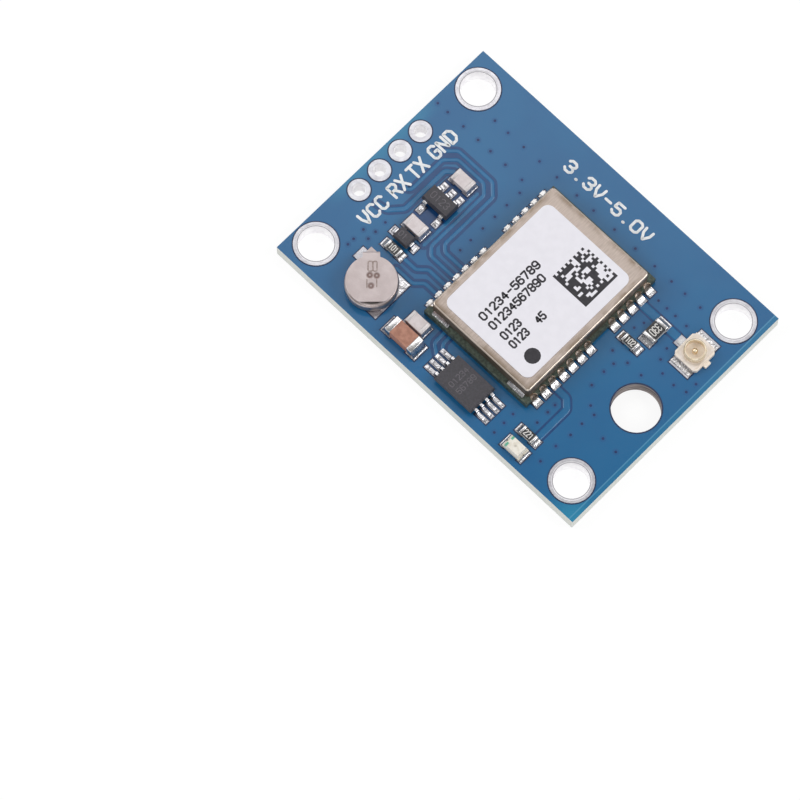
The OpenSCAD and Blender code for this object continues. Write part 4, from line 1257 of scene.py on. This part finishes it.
@dataclass
class BoardTracks:
    """Copper tracks under the mask, each in a channel that is free of copper."""

    relief: float = 0.056
    slope: float = 0.3
    channel_relief: float = 0.012
    channel_drop: float = 0.8
    corner: float = 0.5
    groups: tuple[TrackGroup, ...] = (
        TrackGroup("signal", 0.5, 0.86, (
            ((-14.2, 3.35), (-13.7, 3.6), (-12.7, 4.56), (-8.57, 4.56), (-7.55, 3.55), (-7.55, -2.4),
             (-7.0, -2.95), (-5.0, -2.95)),
            ((-14.2, -1.15), (-13.4, -1.1), (-13.12, -0.85), (-13.12, 3.0), (-12.15, 3.95), (-9.05, 3.95),
             (-8.25, 3.15), (-8.25, -3.35), (-7.6, -4.05), (-5.0, -4.05)),
            ((-8.76, 2.9), (-8.76, -3.8)),
            ((-9.1, -5.85), (-7.7, -5.85), (-6.9, -5.1), (-5.0, -5.1)),
            ((-9.0, -6.95), (-7.0, -6.95), (-6.25, -6.2), (-5.0, -6.2)),
            ((-1.9, -8.2), (-1.9, -9.5), (-0.9, -10.2)),
            ((-1.3, -8.2), (-1.3, -9.0), (-0.9, -9.5)))),
        TrackGroup("supply", 0.62, 0.94, (
            ((-11.6, 2.9), (-12.25, 2.4), (-12.25, -2.5), (-13.3, -3.7), (-14.4, -3.9)),)),
        TrackGroup("light", 0.78, 1.0, (
            ((8.5, -5.15), (9.65, -5.15), (10.4, -5.9), (10.4, -9.5)),)),
        TrackGroup("antenna", 0.94, 1.12, (((8.5, 5.5), (12.7, 5.5)),)),
    )
    clear_path: tuple[Point, ...] = ((-10.45, 1.9), (-10.45, -1.9))
    clear_w: float = 2.5

    def build(self, kit: Kit) -> None:
        """Lay the channels and the tracks on the upper face."""
        top = corners("board")[1].z
        bare = SolidFinish("mask_over_laminate", "#164679", "#134073", (0.14, 0.2), 0.8, 0.002).make()
        copper = SolidFinish("mask_over_track", "#206b9c", "#1c6594", (0.13, 0.19), 0.8, 0.002).make()
        low = self.channel_relief
        for group in self.groups:
            paths = [list(path) for path in group.paths]
            kit.strokes(f"{group.name}_channels", paths, top, group.channel, low, bare,
                        self.corner)
            kit.strokes(f"{group.name}_tracks", paths, top, group.width, self.relief, copper,
                        self.corner, self.slope)
            low *= self.channel_drop
        kit.strokes("clear_patch", [list(self.clear_path)], top, self.clear_w, low, bare)


@dataclass
class MaskOpenings:
    """Dark rims where the mask stops short of the pads and rings, made darker as painted shade round the pads
    and parts.
    """

    gap: float = 0.05
    rim_w: float = 0.13
    relief: float = 0.022
    ring_steps: int = 40
    pad_nodes: tuple[str, ...] = ("component_pads", "receiver_pads")
    ring_nodes: tuple[str, ...] = ("mounting_hole_plating", "header_hole_plating")
    cable_hole: Place = CABLE_HOLE

    def build(self, kit: Kit) -> None:
        """Draw a rim round every pad and ring."""
        low, high = corners("board")
        # partly painted shade: bare laminate round pads and rings, darkened to stand for the shade round them
        dark = SolidFinish("bare_laminate_rim", "#17305a", "#102446", (0.3, 0.45), 2.0, 0.004).make()
        pads = [self.square(*box) for node in self.pad_nodes for box in solid_boxes(node)]
        rings = [self.circle(centre_of(*box), (box[1].x - box[0].x) / 2)
                 for node in self.ring_nodes for box in solid_boxes(node)]
        hole_x, hole_y, hole_r = self.cable_hole
        back = [self.square(*box) for box in solid_boxes("back_pads")]
        rims = (("pad_rims", pads, high.z), ("ring_rims_upper", rings, high.z),
                ("ring_rims_under", rings, low.z),
                ("cable_hole_rim", [self.circle((hole_x, hole_y), hole_r)], high.z),
                ("back_pad_rims", back, low.z))
        for name, paths, level in rims:
            kit.strokes(name, paths, level, self.rim_w, self.relief, dark)

    def square(self, low: Vector, high: Vector) -> Path:
        """Return a closed path round a box in plan."""
        x0, y0, x1, y1 = low.x - self.gap, low.y - self.gap, high.x + self.gap, high.y + self.gap
        return [(x0, y0), (x1, y0), (x1, y1), (x0, y1), (x0, y0)]

    def circle(self, centre: Point, inner: float) -> Path:
        """Draw a circle round a ring or hole in plan.

        Args:
            centre: middle of the ring.
            inner: radius of the ring.

        Returns:
            A closed path.
        """
        cx, cy = centre
        radius = inner + self.gap
        turns = [2 * math.pi * i / self.ring_steps for i in range(self.ring_steps)]
        path = [(cx + radius * math.cos(t), cy + radius * math.sin(t)) for t in turns]
        return path + path[:1]


@dataclass
class ViaField:
    """Tented via holes on both faces."""

    ring_r: float = 0.3
    eye_r: float = 0.125
    relief: float = 0.018
    rows: tuple[tuple[float, tuple[float, ...]], ...] = (
        (8.8, (-12.4, -10.8, -8.9, -7.0, -4.9, -2.5, -0.5, 2.0, 4.5, 6.8, 8.8, 10.4, 12.2)),
        (6.5, (-17.1, -15.9, -14.0, -12.2, -10.7, -8.9, -6.9)),
        (6.75, (9.2, 10.2, 11.2, 12.5)),
    )
    column_x: float = -6.2
    column_y: tuple[float, ...] = (5.5, 3.9, 2.4, 0.9, -0.6, -1.9)
    loose: tuple[Point, ...] = (
        (-12.6, -4.6), (-12.6, -5.8), (-12.6, -6.7), (-13.5, -6.4), (-13.5, -7.6), (-13.5, -8.3),
        (9.7, 4.4), (12.7, 4.1), (9.4, 3.5), (16.7, 3.5), (13.0, 3.0), (16.6, 2.4), (14.0, 2.2),
        (15.4, 2.1), (11.2, 0.8), (12.8, 0.8), (9.5, 0.7), (10.4, -0.1), (10.3, -1.2),
        (10.4, -2.8), (11.6, -4.2), (12.4, -4.6), (14.4, -5.6), (16.0, -5.7), (12.2, -5.9), (9.4, -6.3),
        (9.4, -7.2), (12.2, -7.3), (9.4, -8.5), (12.0, -8.9), (7.4, -9.4), (7.4, -10.5), (12.0, -10.8),
        (7.4, -11.7),
    )
    pad_l: float = 7.1
    pad_rows: Span = (2.4, 8.3)
    under_x: tuple[float, ...] = (-5.4, -3.2, -1.1, 1.0, 3.1, 5.3)
    under_y: tuple[float, ...] = (6.45, 4.3, 2.0, -0.05, -1.7, -3.2, -4.6, -6.5, -8.1)

    def build(self, kit: Kit) -> None:
        """Set a ring and an eye on every via of both faces."""
        low, high = corners("board")
        ring = SolidFinish("mask_over_via_ring", "#1f5f92", "#1b5889", (0.16, 0.24), 0.9, 0.002).make()
        eye = SolidFinish("via_eye", "#12306a", "#0c2250", (0.2, 0.3), 3.0, 0.004).make()
        through = [(x, y) for y, xs in self.rows for x in xs]
        through += [(self.column_x, y) for y in self.column_y] + list(self.loose)
        under = through + [(x, y) for x in self.under_x for y in self.under_y]
        clear = [point for point in under if not self.on_pad(point)]
        for face, level, points in (("upper", high.z, through), ("under", low.z, clear)):
            kit.spots(f"via_rings_{face}", points, level, self.ring_r, self.relief, ring)
            kit.spots(f"via_eyes_{face}", points, level, self.eye_r, 2 * self.relief, eye)

    def on_pad(self, point: Point) -> bool:
        """Tell whether a via would lie on one of the four underside pads.

        Args:
            point: place of the via.

        Returns:
            True where a pad covers it.
        """
        x, y = point
        low, high = corners("back_pads")
        reach = self.pad_l + self.ring_r
        near, far = self.pad_rows
        return (x < low.x + reach or x > high.x - reach) and near < abs(y) < far


@dataclass
class BoardPrint:
    """White printing on both faces: pin names, supply range and two lines."""

    stroke: float = 0.245
    ink: float = 0.042
    corner: float = 0.04
    name_base: float = -13.5
    name_h: float = 1.22
    names: tuple[tuple[str, float, float], ...] = (
        ("VCC", -5.9, 2.72), ("RX", -2.3, 1.72), ("TX", 0.08, 1.66), ("GND", 2.65, 2.76))
    range_text: str = "3.3V-5.0V"
    range_at: Point = (-5.1, 9.8)
    range_h: float = 1.06
    range_l: float = 9.8
    line_w: float = 0.28
    lines: tuple[tuple[Point, Point], ...] = (
        ((-12.95, -12.6), (-12.95, -7.3)), ((-12.95, -2.6), (-12.95, 2.5)), ((-12.95, 7.2), (-12.95, 12.6)),
        ((12.6, -12.6), (12.6, -8.3)), ((12.6, -3.6), (12.6, -2.9)), ((12.6, -0.4), (12.6, 2.5)),
        ((12.6, 7.2), (12.6, 12.6)))

    def build(self, kit: Kit) -> None:
        """Print both faces."""
        low, high = corners("board")
        white = SolidFinish("white_board_ink", "#f3f4f5", "#e3e7ea", (0.5, 0.65), 2.0, 0.006).make()
        paths: list[Path] = []
        for text, start, length in self.names:
            paths += letter_paths(text, (self.name_base, start), Reading.ALONG_Y, self.name_h, length)
        paths += letter_paths(self.range_text, self.range_at, Reading.ALONG_X, self.range_h, self.range_l)
        kit.strokes("board_lettering", paths, high.z, self.stroke, self.ink * 2, white,
                    self.corner)
        kit.strokes("underside_lines", [list(p) for p in self.lines], low.z, self.line_w, self.ink * 2,
                    white)


@dataclass
class LabelPrint:
    """Black printing on the receiver's label: a square of random cells, a pin mark and plain digits."""

    node: str = "receiver_label"
    sink: float = 0.01
    ink: float = 0.004
    code_low: Point = (1.72, 1.26)
    code_side: float = 3.96
    code_cells: int = 16
    code_share: float = 0.52
    code_seed: int = 11
    dot: Point = (5.48, -5.11)
    dot_r: float = 0.73
    stroke: float = 0.17
    corner: float = 0.03
    lines: tuple[tuple[str, Point, float, float], ...] = (
        ("01234-56789", (0.34, -5.72), 0.7, 6.95), ("01234567890", (1.5, -5.72), 0.7, 6.4),
        ("0123", (2.84, -5.68), 0.7, 2.0), ("0123  45", (3.9, -5.72), 0.68, 4.0))

    def build(self, kit: Kit) -> None:
        """Print the label."""
        top = corners(self.node)[1].z - self.sink
        self.lay_sheet(kit, top)
        black = SolidFinish("black_label_ink", "#36343a", "#2a282d", (0.5, 0.65), 3.0, 0.004).make()
        digits: list[Path] = []
        for text, start, height, length in self.lines:
            digits += letter_paths(text, start, Reading.ALONG_Y, height, length)
        kit.strokes("label_digits", digits, top, self.stroke, 2 * self.ink, black,
                    self.corner)
        kit.spots("label_pin_mark", [self.dot], top, self.dot_r, 2 * self.ink, black)
        self.print_code(kit, top, black)

    def lay_sheet(self, kit: Kit, top: float) -> None:
        """Lay the paper a little lower than the solid, so that the ink ends level with it.

        Args:
            kit: trees and pieces.
            top: height of the paper's face.
        """
        shape = bmesh.new()
        shape.from_mesh(bpy.data.objects[self.node].data)
        bmesh.ops.remove_doubles(shape, verts=shape.verts, dist=WELD)
        for vert in shape.verts:
            vert.co.z = min(vert.co.z, top * MM)
        kit.stand_in("label_sheet", shape, self.node)

    def print_code(self, kit: Kit, top: float, black: bpy.types.Material) -> None:
        """Print a square of cells that stand for nothing.

        Args:
            kit: trees and pieces.
            top: height of the label's face.
            black: ink.
        """
        cell = self.code_side / self.code_cells
        x0, y0 = self.code_low[0] + cell / 2, self.code_low[1] + cell / 2
        last = self.code_cells - 1
        inner = [(x0 + i * cell, y0 + j * cell) for i in range(1, last) for j in range(1, last)]
        rim = [(x0 + i * cell, y0) for i in range(self.code_cells)]
        rim += [(x0 + last * cell, y0 + j * cell) for j in range(1, self.code_cells)]
        rim += [(x0, y0 + j * cell) for j in range(2, self.code_cells, 2)]
        rim += [(x0 + i * cell, y0 + last * cell) for i in range(2, last, 2)]
        for name, points, share in (("label_code", inner, self.code_share), ("label_code_rim", rim, 1.0)):
            cells = kit.code.grow(name, point_mesh(name, points, top),
                                  {"Cell": cell * MM, "Height": 2 * self.ink * MM, "Share": share,
                                   "Seed": self.code_seed, "Material": black})
            kit.keep(cells)


@dataclass
class ChipEnds:
    """Dipped metal ends of the chip parts, with soft edges, in place of the sharp ones."""

    soft: float = 0.085
    steps: int = 3
    parts: tuple[str, ...] = ("bulk_capacitor", "input_capacitor", "output_capacitor", "memory_capacitor",
                              "charge_resistor", "light_resistor", "filter_resistor", "bias_resistor")

    def build(self, kit: Kit) -> None:
        """Make soft blocks where each part has its ends."""
        for part in self.parts:
            node = f"{part}_ends"
            kit.stand_in(f"{node}_soft", self.shape_ends(node), node)

    def shape_ends(self, node: str) -> bmesh.types.BMesh:
        """Shape soft blocks in the boxes of a node's solids.

        Args:
            node: name of the node.

        Returns:
            The blocks.
        """
        shape = bmesh.new()
        for low, high in solid_boxes(node):
            for vert in bmesh.ops.create_cube(shape, size=1.0)["verts"]:
                vert.co = Vector([(low[i] + high[i]) / 2 + vert.co[i] * (high[i] - low[i])
                                  for i in range(3)]) * MM
        bmesh.ops.bevel(shape, geom=shape.edges[:], offset=self.soft * MM, segments=self.steps,
                        profile=0.5, affect="EDGES", clamp_overlap=True)
        for face in shape.faces:
            face.smooth = True
        return shape


@dataclass
class ContactBeads:
    """Beads of solder that bulge from under the receiver's edge on the header side."""

    size: Place = (0.21, 0.26, 0.26)
    inset: float = 0.15

    def build(self, kit: Kit) -> None:
        """Set a bead on every pad of that side."""
        solder = MetalFinish("bead_solder", "#fffefe", "#f1eeeb", (0.18, 0.3), 1.2, relief=0.012,
                             metal=0.5).make()
        side = middle("receiver_board")[0]
        pads = [box for box in solid_boxes("receiver_pads") if box[1].x < side]
        points = [(box[0].x + self.inset, centre_of(*box)[1]) for box in pads]
        mesh = point_mesh("contact_beads", points, corners("receiver_pads")[1].z)
        size = tuple(part * MM for part in self.size)
        kit.keep(kit.bead.grow("contact_beads", mesh, {"Size": size, "Material": solder}))


@dataclass
class CellMarks:
    """Shallow marks that the welding tool pressed into the cell's upper tab, drawn as darker strokes that
    paint the shade in them.
    """

    width: float = 0.12
    ink: float = 0.003
    corner: float = 0.14
    loops: tuple[tuple[Point, ...], ...] = (
        ((-10.75, -8.59), (-10.13, -9.24), (-9.84, -8.96), (-10.46, -8.31), (-10.75, -8.59)),
        ((-10.44, -8.29), (-9.82, -8.94), (-9.57, -8.71), (-10.19, -8.06), (-10.44, -8.29)),
        ((-9.64, -9.87), (-9.15, -10.37)), ((-9.04, -9.28), (-8.6, -9.73)))

    def build(self, kit: Kit) -> None:
        """Draw the marks."""
        # painted shade: the pressed marks are real, their darker colour stands for the shade in their grooves
        painted_groove_shade = SolidFinish("pressed_mark", "#b0a09b", "#8d7c76", (0.45, 0.6), 4.0, 0.02).make()
        kit.strokes("cell_tab_marks", [list(loop) for loop in self.loops], corners("cell_top_tab")[1].z,
                    self.width, 2 * self.ink, painted_groove_shade, self.corner)


@dataclass
class ChipLine:
    """One line of print on the middle of a chip."""

    node: str
    text: str
    height: float
    length: float
    reading: Reading = Reading.ALONG_X
    shift: float = 0.0

    def paths(self) -> list[Path]:
        """Lay the line out.

        Returns:
            The strokes.
        """
        x, y = middle(self.node)
        (along_x, along_y), (up_x, up_y) = self.reading.value
        start = (x + self.shift - along_x * self.length / 2 - up_x * self.height / 2,
                 y - along_y * self.length / 2 - up_y * self.height / 2)
        return letter_paths(self.text, start, self.reading, self.height, self.length)


@dataclass
class ChipPrint:
    """Value digits on the resistors and faint marks on the moulded parts."""

    ink: float = 0.004
    code_stroke: float = 0.085
    mark_stroke: float = 0.07
    corner: float = 0.02
    codes: tuple[ChipLine, ...] = (
        ChipLine("light_resistor_coat", "221", 0.52, 0.8),
        ChipLine("bias_resistor_coat", "102", 0.52, 0.8),
        ChipLine("charge_resistor_coat", "101", 0.52, 0.8),
        ChipLine("filter_resistor_coat", "330", 0.72, 0.95, Reading.AGAINST_Y))
    marks: tuple[ChipLine, ...] = (
        ChipLine("regulator_body", "0123", 0.62, 1.9),
        ChipLine("diode_body", "01", 0.5, 0.7, shift=-0.15),
        ChipLine("memory_body", "01234", 0.5, 2.1, Reading.ALONG_Y, -0.7),
        ChipLine("memory_body", "56789", 0.5, 2.1, Reading.ALONG_Y, 0.2))

    def build(self, kit: Kit) -> None:
        """Print every chip."""
        white = SolidFinish("white_chip_ink", "#eceae6", "#d8d5d0", (0.45, 0.6), 4.0, 0.004).make()
        faint = SolidFinish("faint_laser_mark", "#6e6a70", "#5d5a60", (0.55, 0.7), 5.0, 0.006).make()
        for kind, lines, stroke, material, slot in (
                ("digits", self.codes, self.code_stroke, white, "resistor_glaze"),
                ("marks", self.marks, self.mark_stroke, faint, "black_moulding")):
            for node in dict.fromkeys(line.node for line in lines):
                paths = [path for line in lines if line.node == node for path in line.paths()]
                kit.strokes(f"{node}_{kind}", paths, corners(node)[1].z, stroke, 2 * self.ink, material,
                            self.corner)


@dataclass
class SolidsDressing:
    """Finishes of the carried-over solids, by material slot, with a few nodes of their own."""

    weld_points: tuple[Point, ...] = ((-9.29, -9.02), (-9.75, -9.4), (-9.0, -10.02))
    mount_band: float = 1.77
    header_band: float = 0.62
    tab_rise: float = 0.3
    foot_rise: float = 0.4
    dull_ends: tuple[str, ...] = ("input_capacitor_ends", "output_capacitor_ends", "memory_capacitor_ends")

    def hole_finish(self, node: str, band: float) -> bpy.types.Material:
        """Return the finish of a set of plated holes.

        Args:
            node: node of the plating.
            band: outer radius of the painted highlight band round each hole.

        Returns:
            The material.
        """
        centres = sorted(centre_of(*box) for box in solid_boxes(node))
        return HoleFinish(f"{node}_tin", tuple(centres), band).make()

    def finishes(self) -> dict[str, bpy.types.Material]:
        """Make the finishes of the record's slots.

        Returns:
            A material for every slot.
        """
        board = corners("board")[1]
        lens_low, lens_high = corners("light_lens")
        plate = corners("socket_plate")[0].z
        parts: list[tuple[str, Any]] = [
            ("solder_mask", MaskFinish(board.x, board.y, CABLE_HOLE)),
            ("tin_plating", MetalFinish("bright_tin", "#cfced3", "#b4b2b8", (0.22, 0.36), 1.4)),
            ("solder", MetalFinish("reflowed_solder", "#e4e3e5", "#c8c6ca", (0.1, 0.22), 1.7, relief=0.07)),
            ("receiver_laminate", SolidFinish("green_receiver_mask", "#5a665a", "#2c382f", (0.3, 0.5), 3.6,
                                              0.03)),
            ("edge_contact", MetalFinish("flash_gold_edge", "#efdccb", "#94806a", (0.2, 0.34), 3.0)),
            ("shield_metal", CanFinish(*corners("shield_can"))),
            ("label_paper", SolidFinish("white_label_paper", "#efedf4", "#ebe9f0", (0.5, 0.62), 1.2, 0.004)),
            ("black_moulding", SolidFinish("charcoal_moulding", "#48464c", "#3d3b40", (0.4, 0.55), 6.0,
                                           0.015)),
            ("inner_metal", MetalFinish("satin_lid", "#c2c4c6", "#a5a7aa", (0.3, 0.45))),
            ("lead_metal", MetalFinish("matte_tin_lead", "#e6e5e7", "#d2d0d3", (0.14, 0.26), 1.8,
                                       relief=0.03)),
            ("cell_steel", MetalFinish("nickelled_steel", "#c6bab8", "#aa9d9a", (0.22, 0.4), 1.1, metal=0.9)),
            ("cell_seal", SolidFinish("dark_gasket", "#55504c", "#423e3b")),
            ("brown_ceramic", SolidFinish("brown_fired_ceramic", "#b98672", "#a06f5c", (0.4, 0.55), 2.6)),
            ("pale_ceramic", SolidFinish("pale_fired_ceramic", "#e0d7d8", "#d3c9c9", (0.42, 0.56), 2.6)),
            ("end_metal", MetalFinish("dipped_chip_end", "#e6e5e5", "#d2d0d1", (0.16, 0.3), 1.8)),
            ("alumina", SolidFinish("white_alumina", "#dedcd6", "#cbc9c3", (0.5, 0.65), 3.0)),
            ("resistor_glaze", SolidFinish("black_glaze", "#2b2a2d", "#1f1e21", (0.2, 0.34), 3.0, 0.006,
                                           0.3)),
            ("light_substrate", SolidFinish("cream_laminate", "#ddd6c6", "#c9c0ad", (0.5, 0.65), 2.5)),
            ("light_resin", LensFinish(middle("light_lens"), (lens_high.x - lens_low.x) / 2)),
            ("light_metal", MetalFinish("pale_gold_flash", "#efeadf", "#dcd5c6", (0.3, 0.45), 2.0,
                                        metal=0.6)),
            ("socket_insulator", SolidFinish("cream_moulding", "#fff5e8", "#faecdc", (0.42, 0.58), 2.0)),
            ("socket_metal", SocketShellFinish(plate + self.tab_rise)),
            ("gold", SocketPinFinish(plate + self.foot_rise)),
        ]
        return {slot: finish.make() for slot, finish in parts}

    def dress(self, frame: dict[str, Any]) -> None:
        """Give every shown node its finish.
        """
        by_slot = self.finishes()
        own = {
            "cell_top_tab": CellTabFinish(self.weld_points).make(),
            "cell_bottom_tab": by_slot["solder"],
            "receiver_solder": JointFinish(corners("receiver_board")[1].x).make(),
            "back_pads": PadFinish(corners("back_pads")[1].y).make(),
            "mounting_hole_plating": self.hole_finish("mounting_hole_plating", self.mount_band),
            "header_hole_plating": self.hole_finish("header_hole_plating", self.header_band),
            "socket_barrel": MetalFinish("pale_gold_barrel", "#f6e8d0", "#e4d1b0", (0.18, 0.32), 2.0,
                                         relief=0.01, metal=0.55).make(),
        }
        dull = MetalFinish("dull_chip_end", "#e2dcdc", "#d2cbcb", (0.36, 0.5), 1.8, relief=0.01, metal=0.7)
        own.update(dict.fromkeys(self.dull_ends, dull.make()))
        for part in frame["record"]["subparts"]:
            node = part["node"]
            solid = frame["nodes"][node]
            material = own.get(node, by_slot[part["material_slot"]])
            solid.data.materials.clear()
            solid.data.materials.append(material)
            LOG.info("solid %s: %s", node, material.name)


@dataclass
class Studio:
    """Camera, pale floor and soft lights."""

    camera_at: Place = (91.5, -108.9, 402.05)
    look_at: Place = (-0.38, -15.25, 1.65)
    lens: float = 221.83
    sensor: float = 36.0
    clip: Span = (0.01, 20.0)
    floor_side: float = 4.0
    floor_light: str = "#747474"
    floor_dark: str = "#6e6e6e"
    floor_rough: float = 0.9
    floor_glow: float = 0.86
    white: Colour = (1.0, 1.0, 1.0, 1.0)
    world_light: float = 0.3
    softbox_at: Place = (-307.0, 341.0, 620.0)
    softbox_turn: float = 44.5
    softbox_side: float = 0.5
    softbox_power: float = 1.2
    lamps: tuple[tuple[str, Place, float, float], ...] = (
        ("right_lamp", (430.0, 330.0, 520.0), 0.4, 1.85),
        ("left_lamp", (-480.0, -260.0, 520.0), 0.4, 1.65),
        ("front_lamp", (330.0, -420.0, 420.0), 0.4, 1.0),
    )

    def build(self) -> None:
        """Set up the studio."""
        self.place_camera()
        self.lay_floor()
        self.light()
        bpy.context.scene.view_settings.view_transform = "Standard"

    def place_camera(self) -> None:
        """Put the camera at the viewing angle of the picture."""
        data = bpy.data.cameras.new("camera")
        data.lens = self.lens
        data.sensor_width = self.sensor
        data.sensor_fit = "HORIZONTAL"
        data.clip_start, data.clip_end = self.clip
        camera = bpy.data.objects.new("camera", data)
        camera.location = Vector(self.camera_at) * MM
        aim = Vector(self.look_at) * MM - camera.location
        camera.rotation_euler = aim.to_track_quat("-Z", "Y").to_euler()
        bpy.context.scene.collection.objects.link(camera)
        bpy.context.scene.camera = camera

    def lay_floor(self) -> None:
        """Lay a pale floor under the part."""
        half = self.floor_side / 2
        mesh = bpy.data.meshes.new("floor")
        mesh.from_pydata([(-half, -half, 0.0), (half, -half, 0.0), (half, half, 0.0), (-half, half, 0.0)],
                         [], [(0, 1, 2, 3)])
        floor = bpy.data.objects.new("floor", mesh)
        bpy.context.scene.collection.objects.link(floor)
        net = Net("pale_floor")
        cloud = net.noise(scale=0.01)
        floor.data.materials.append(net.surface({
            "Base Color": net.blend(cloud, rgb(self.floor_dark), rgb(self.floor_light)),
            "Roughness": self.floor_rough,
            "Specular IOR Level": 0.0,
            "Emission Color": self.white,
            "Emission Strength": self.floor_glow,
        }))

    def light(self) -> None:
        """Hang the lamps and brighten the surroundings."""
        world = bpy.data.worlds.new("studio_surroundings")
        world.use_nodes = True
        sky = world.node_tree.nodes["Background"]
        sky.inputs["Color"].default_value = self.white
        sky.inputs["Strength"].default_value = self.world_light
        bpy.context.scene.world = world
        softbox = self.hang("softbox", self.softbox_at, self.softbox_side, self.softbox_power)
        softbox.rotation_euler = (0.0, 0.0, math.radians(self.softbox_turn))
        for name, place, side, power in self.lamps:
            lamp = self.hang(name, place, side, power)
            lamp.rotation_euler = (-lamp.location).to_track_quat("-Z", "Y").to_euler()

    def hang(self, name: str, place: Place, side: float, power: float) -> bpy.types.Object:
        """Hang a square lamp that faces down.

        Args:
            name: name of the lamp.
            place: its place in millimetres.
            side: side of its square in metres.
            power: its power.

        Returns:
            The lamp.
        """
        data = bpy.data.lights.new(name, "AREA")
        data.shape = "SQUARE"
        data.size = side
        data.energy = power
        lamp = bpy.data.objects.new(name, data)
        lamp.location = Vector(place) * MM
        bpy.context.scene.collection.objects.link(lamp)
        return lamp


def main() -> None:
    """Build the looks in order."""
    logging.basicConfig(level=logging.INFO, format="%(name)s: %(message)s")
    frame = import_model()
    Studio().build()
    SolidsDressing().dress(frame)
    kit = Kit()
    for assembly in (BoardTracks(), ViaField(), MaskOpenings(), BoardPrint(), LabelPrint(), ChipEnds(),
                     ContactBeads(), CellMarks(), ChipPrint()):
        assembly.build(kit)
        LOG.info("built %s", type(assembly).__name__)


if __name__ == "__main__":
    main()
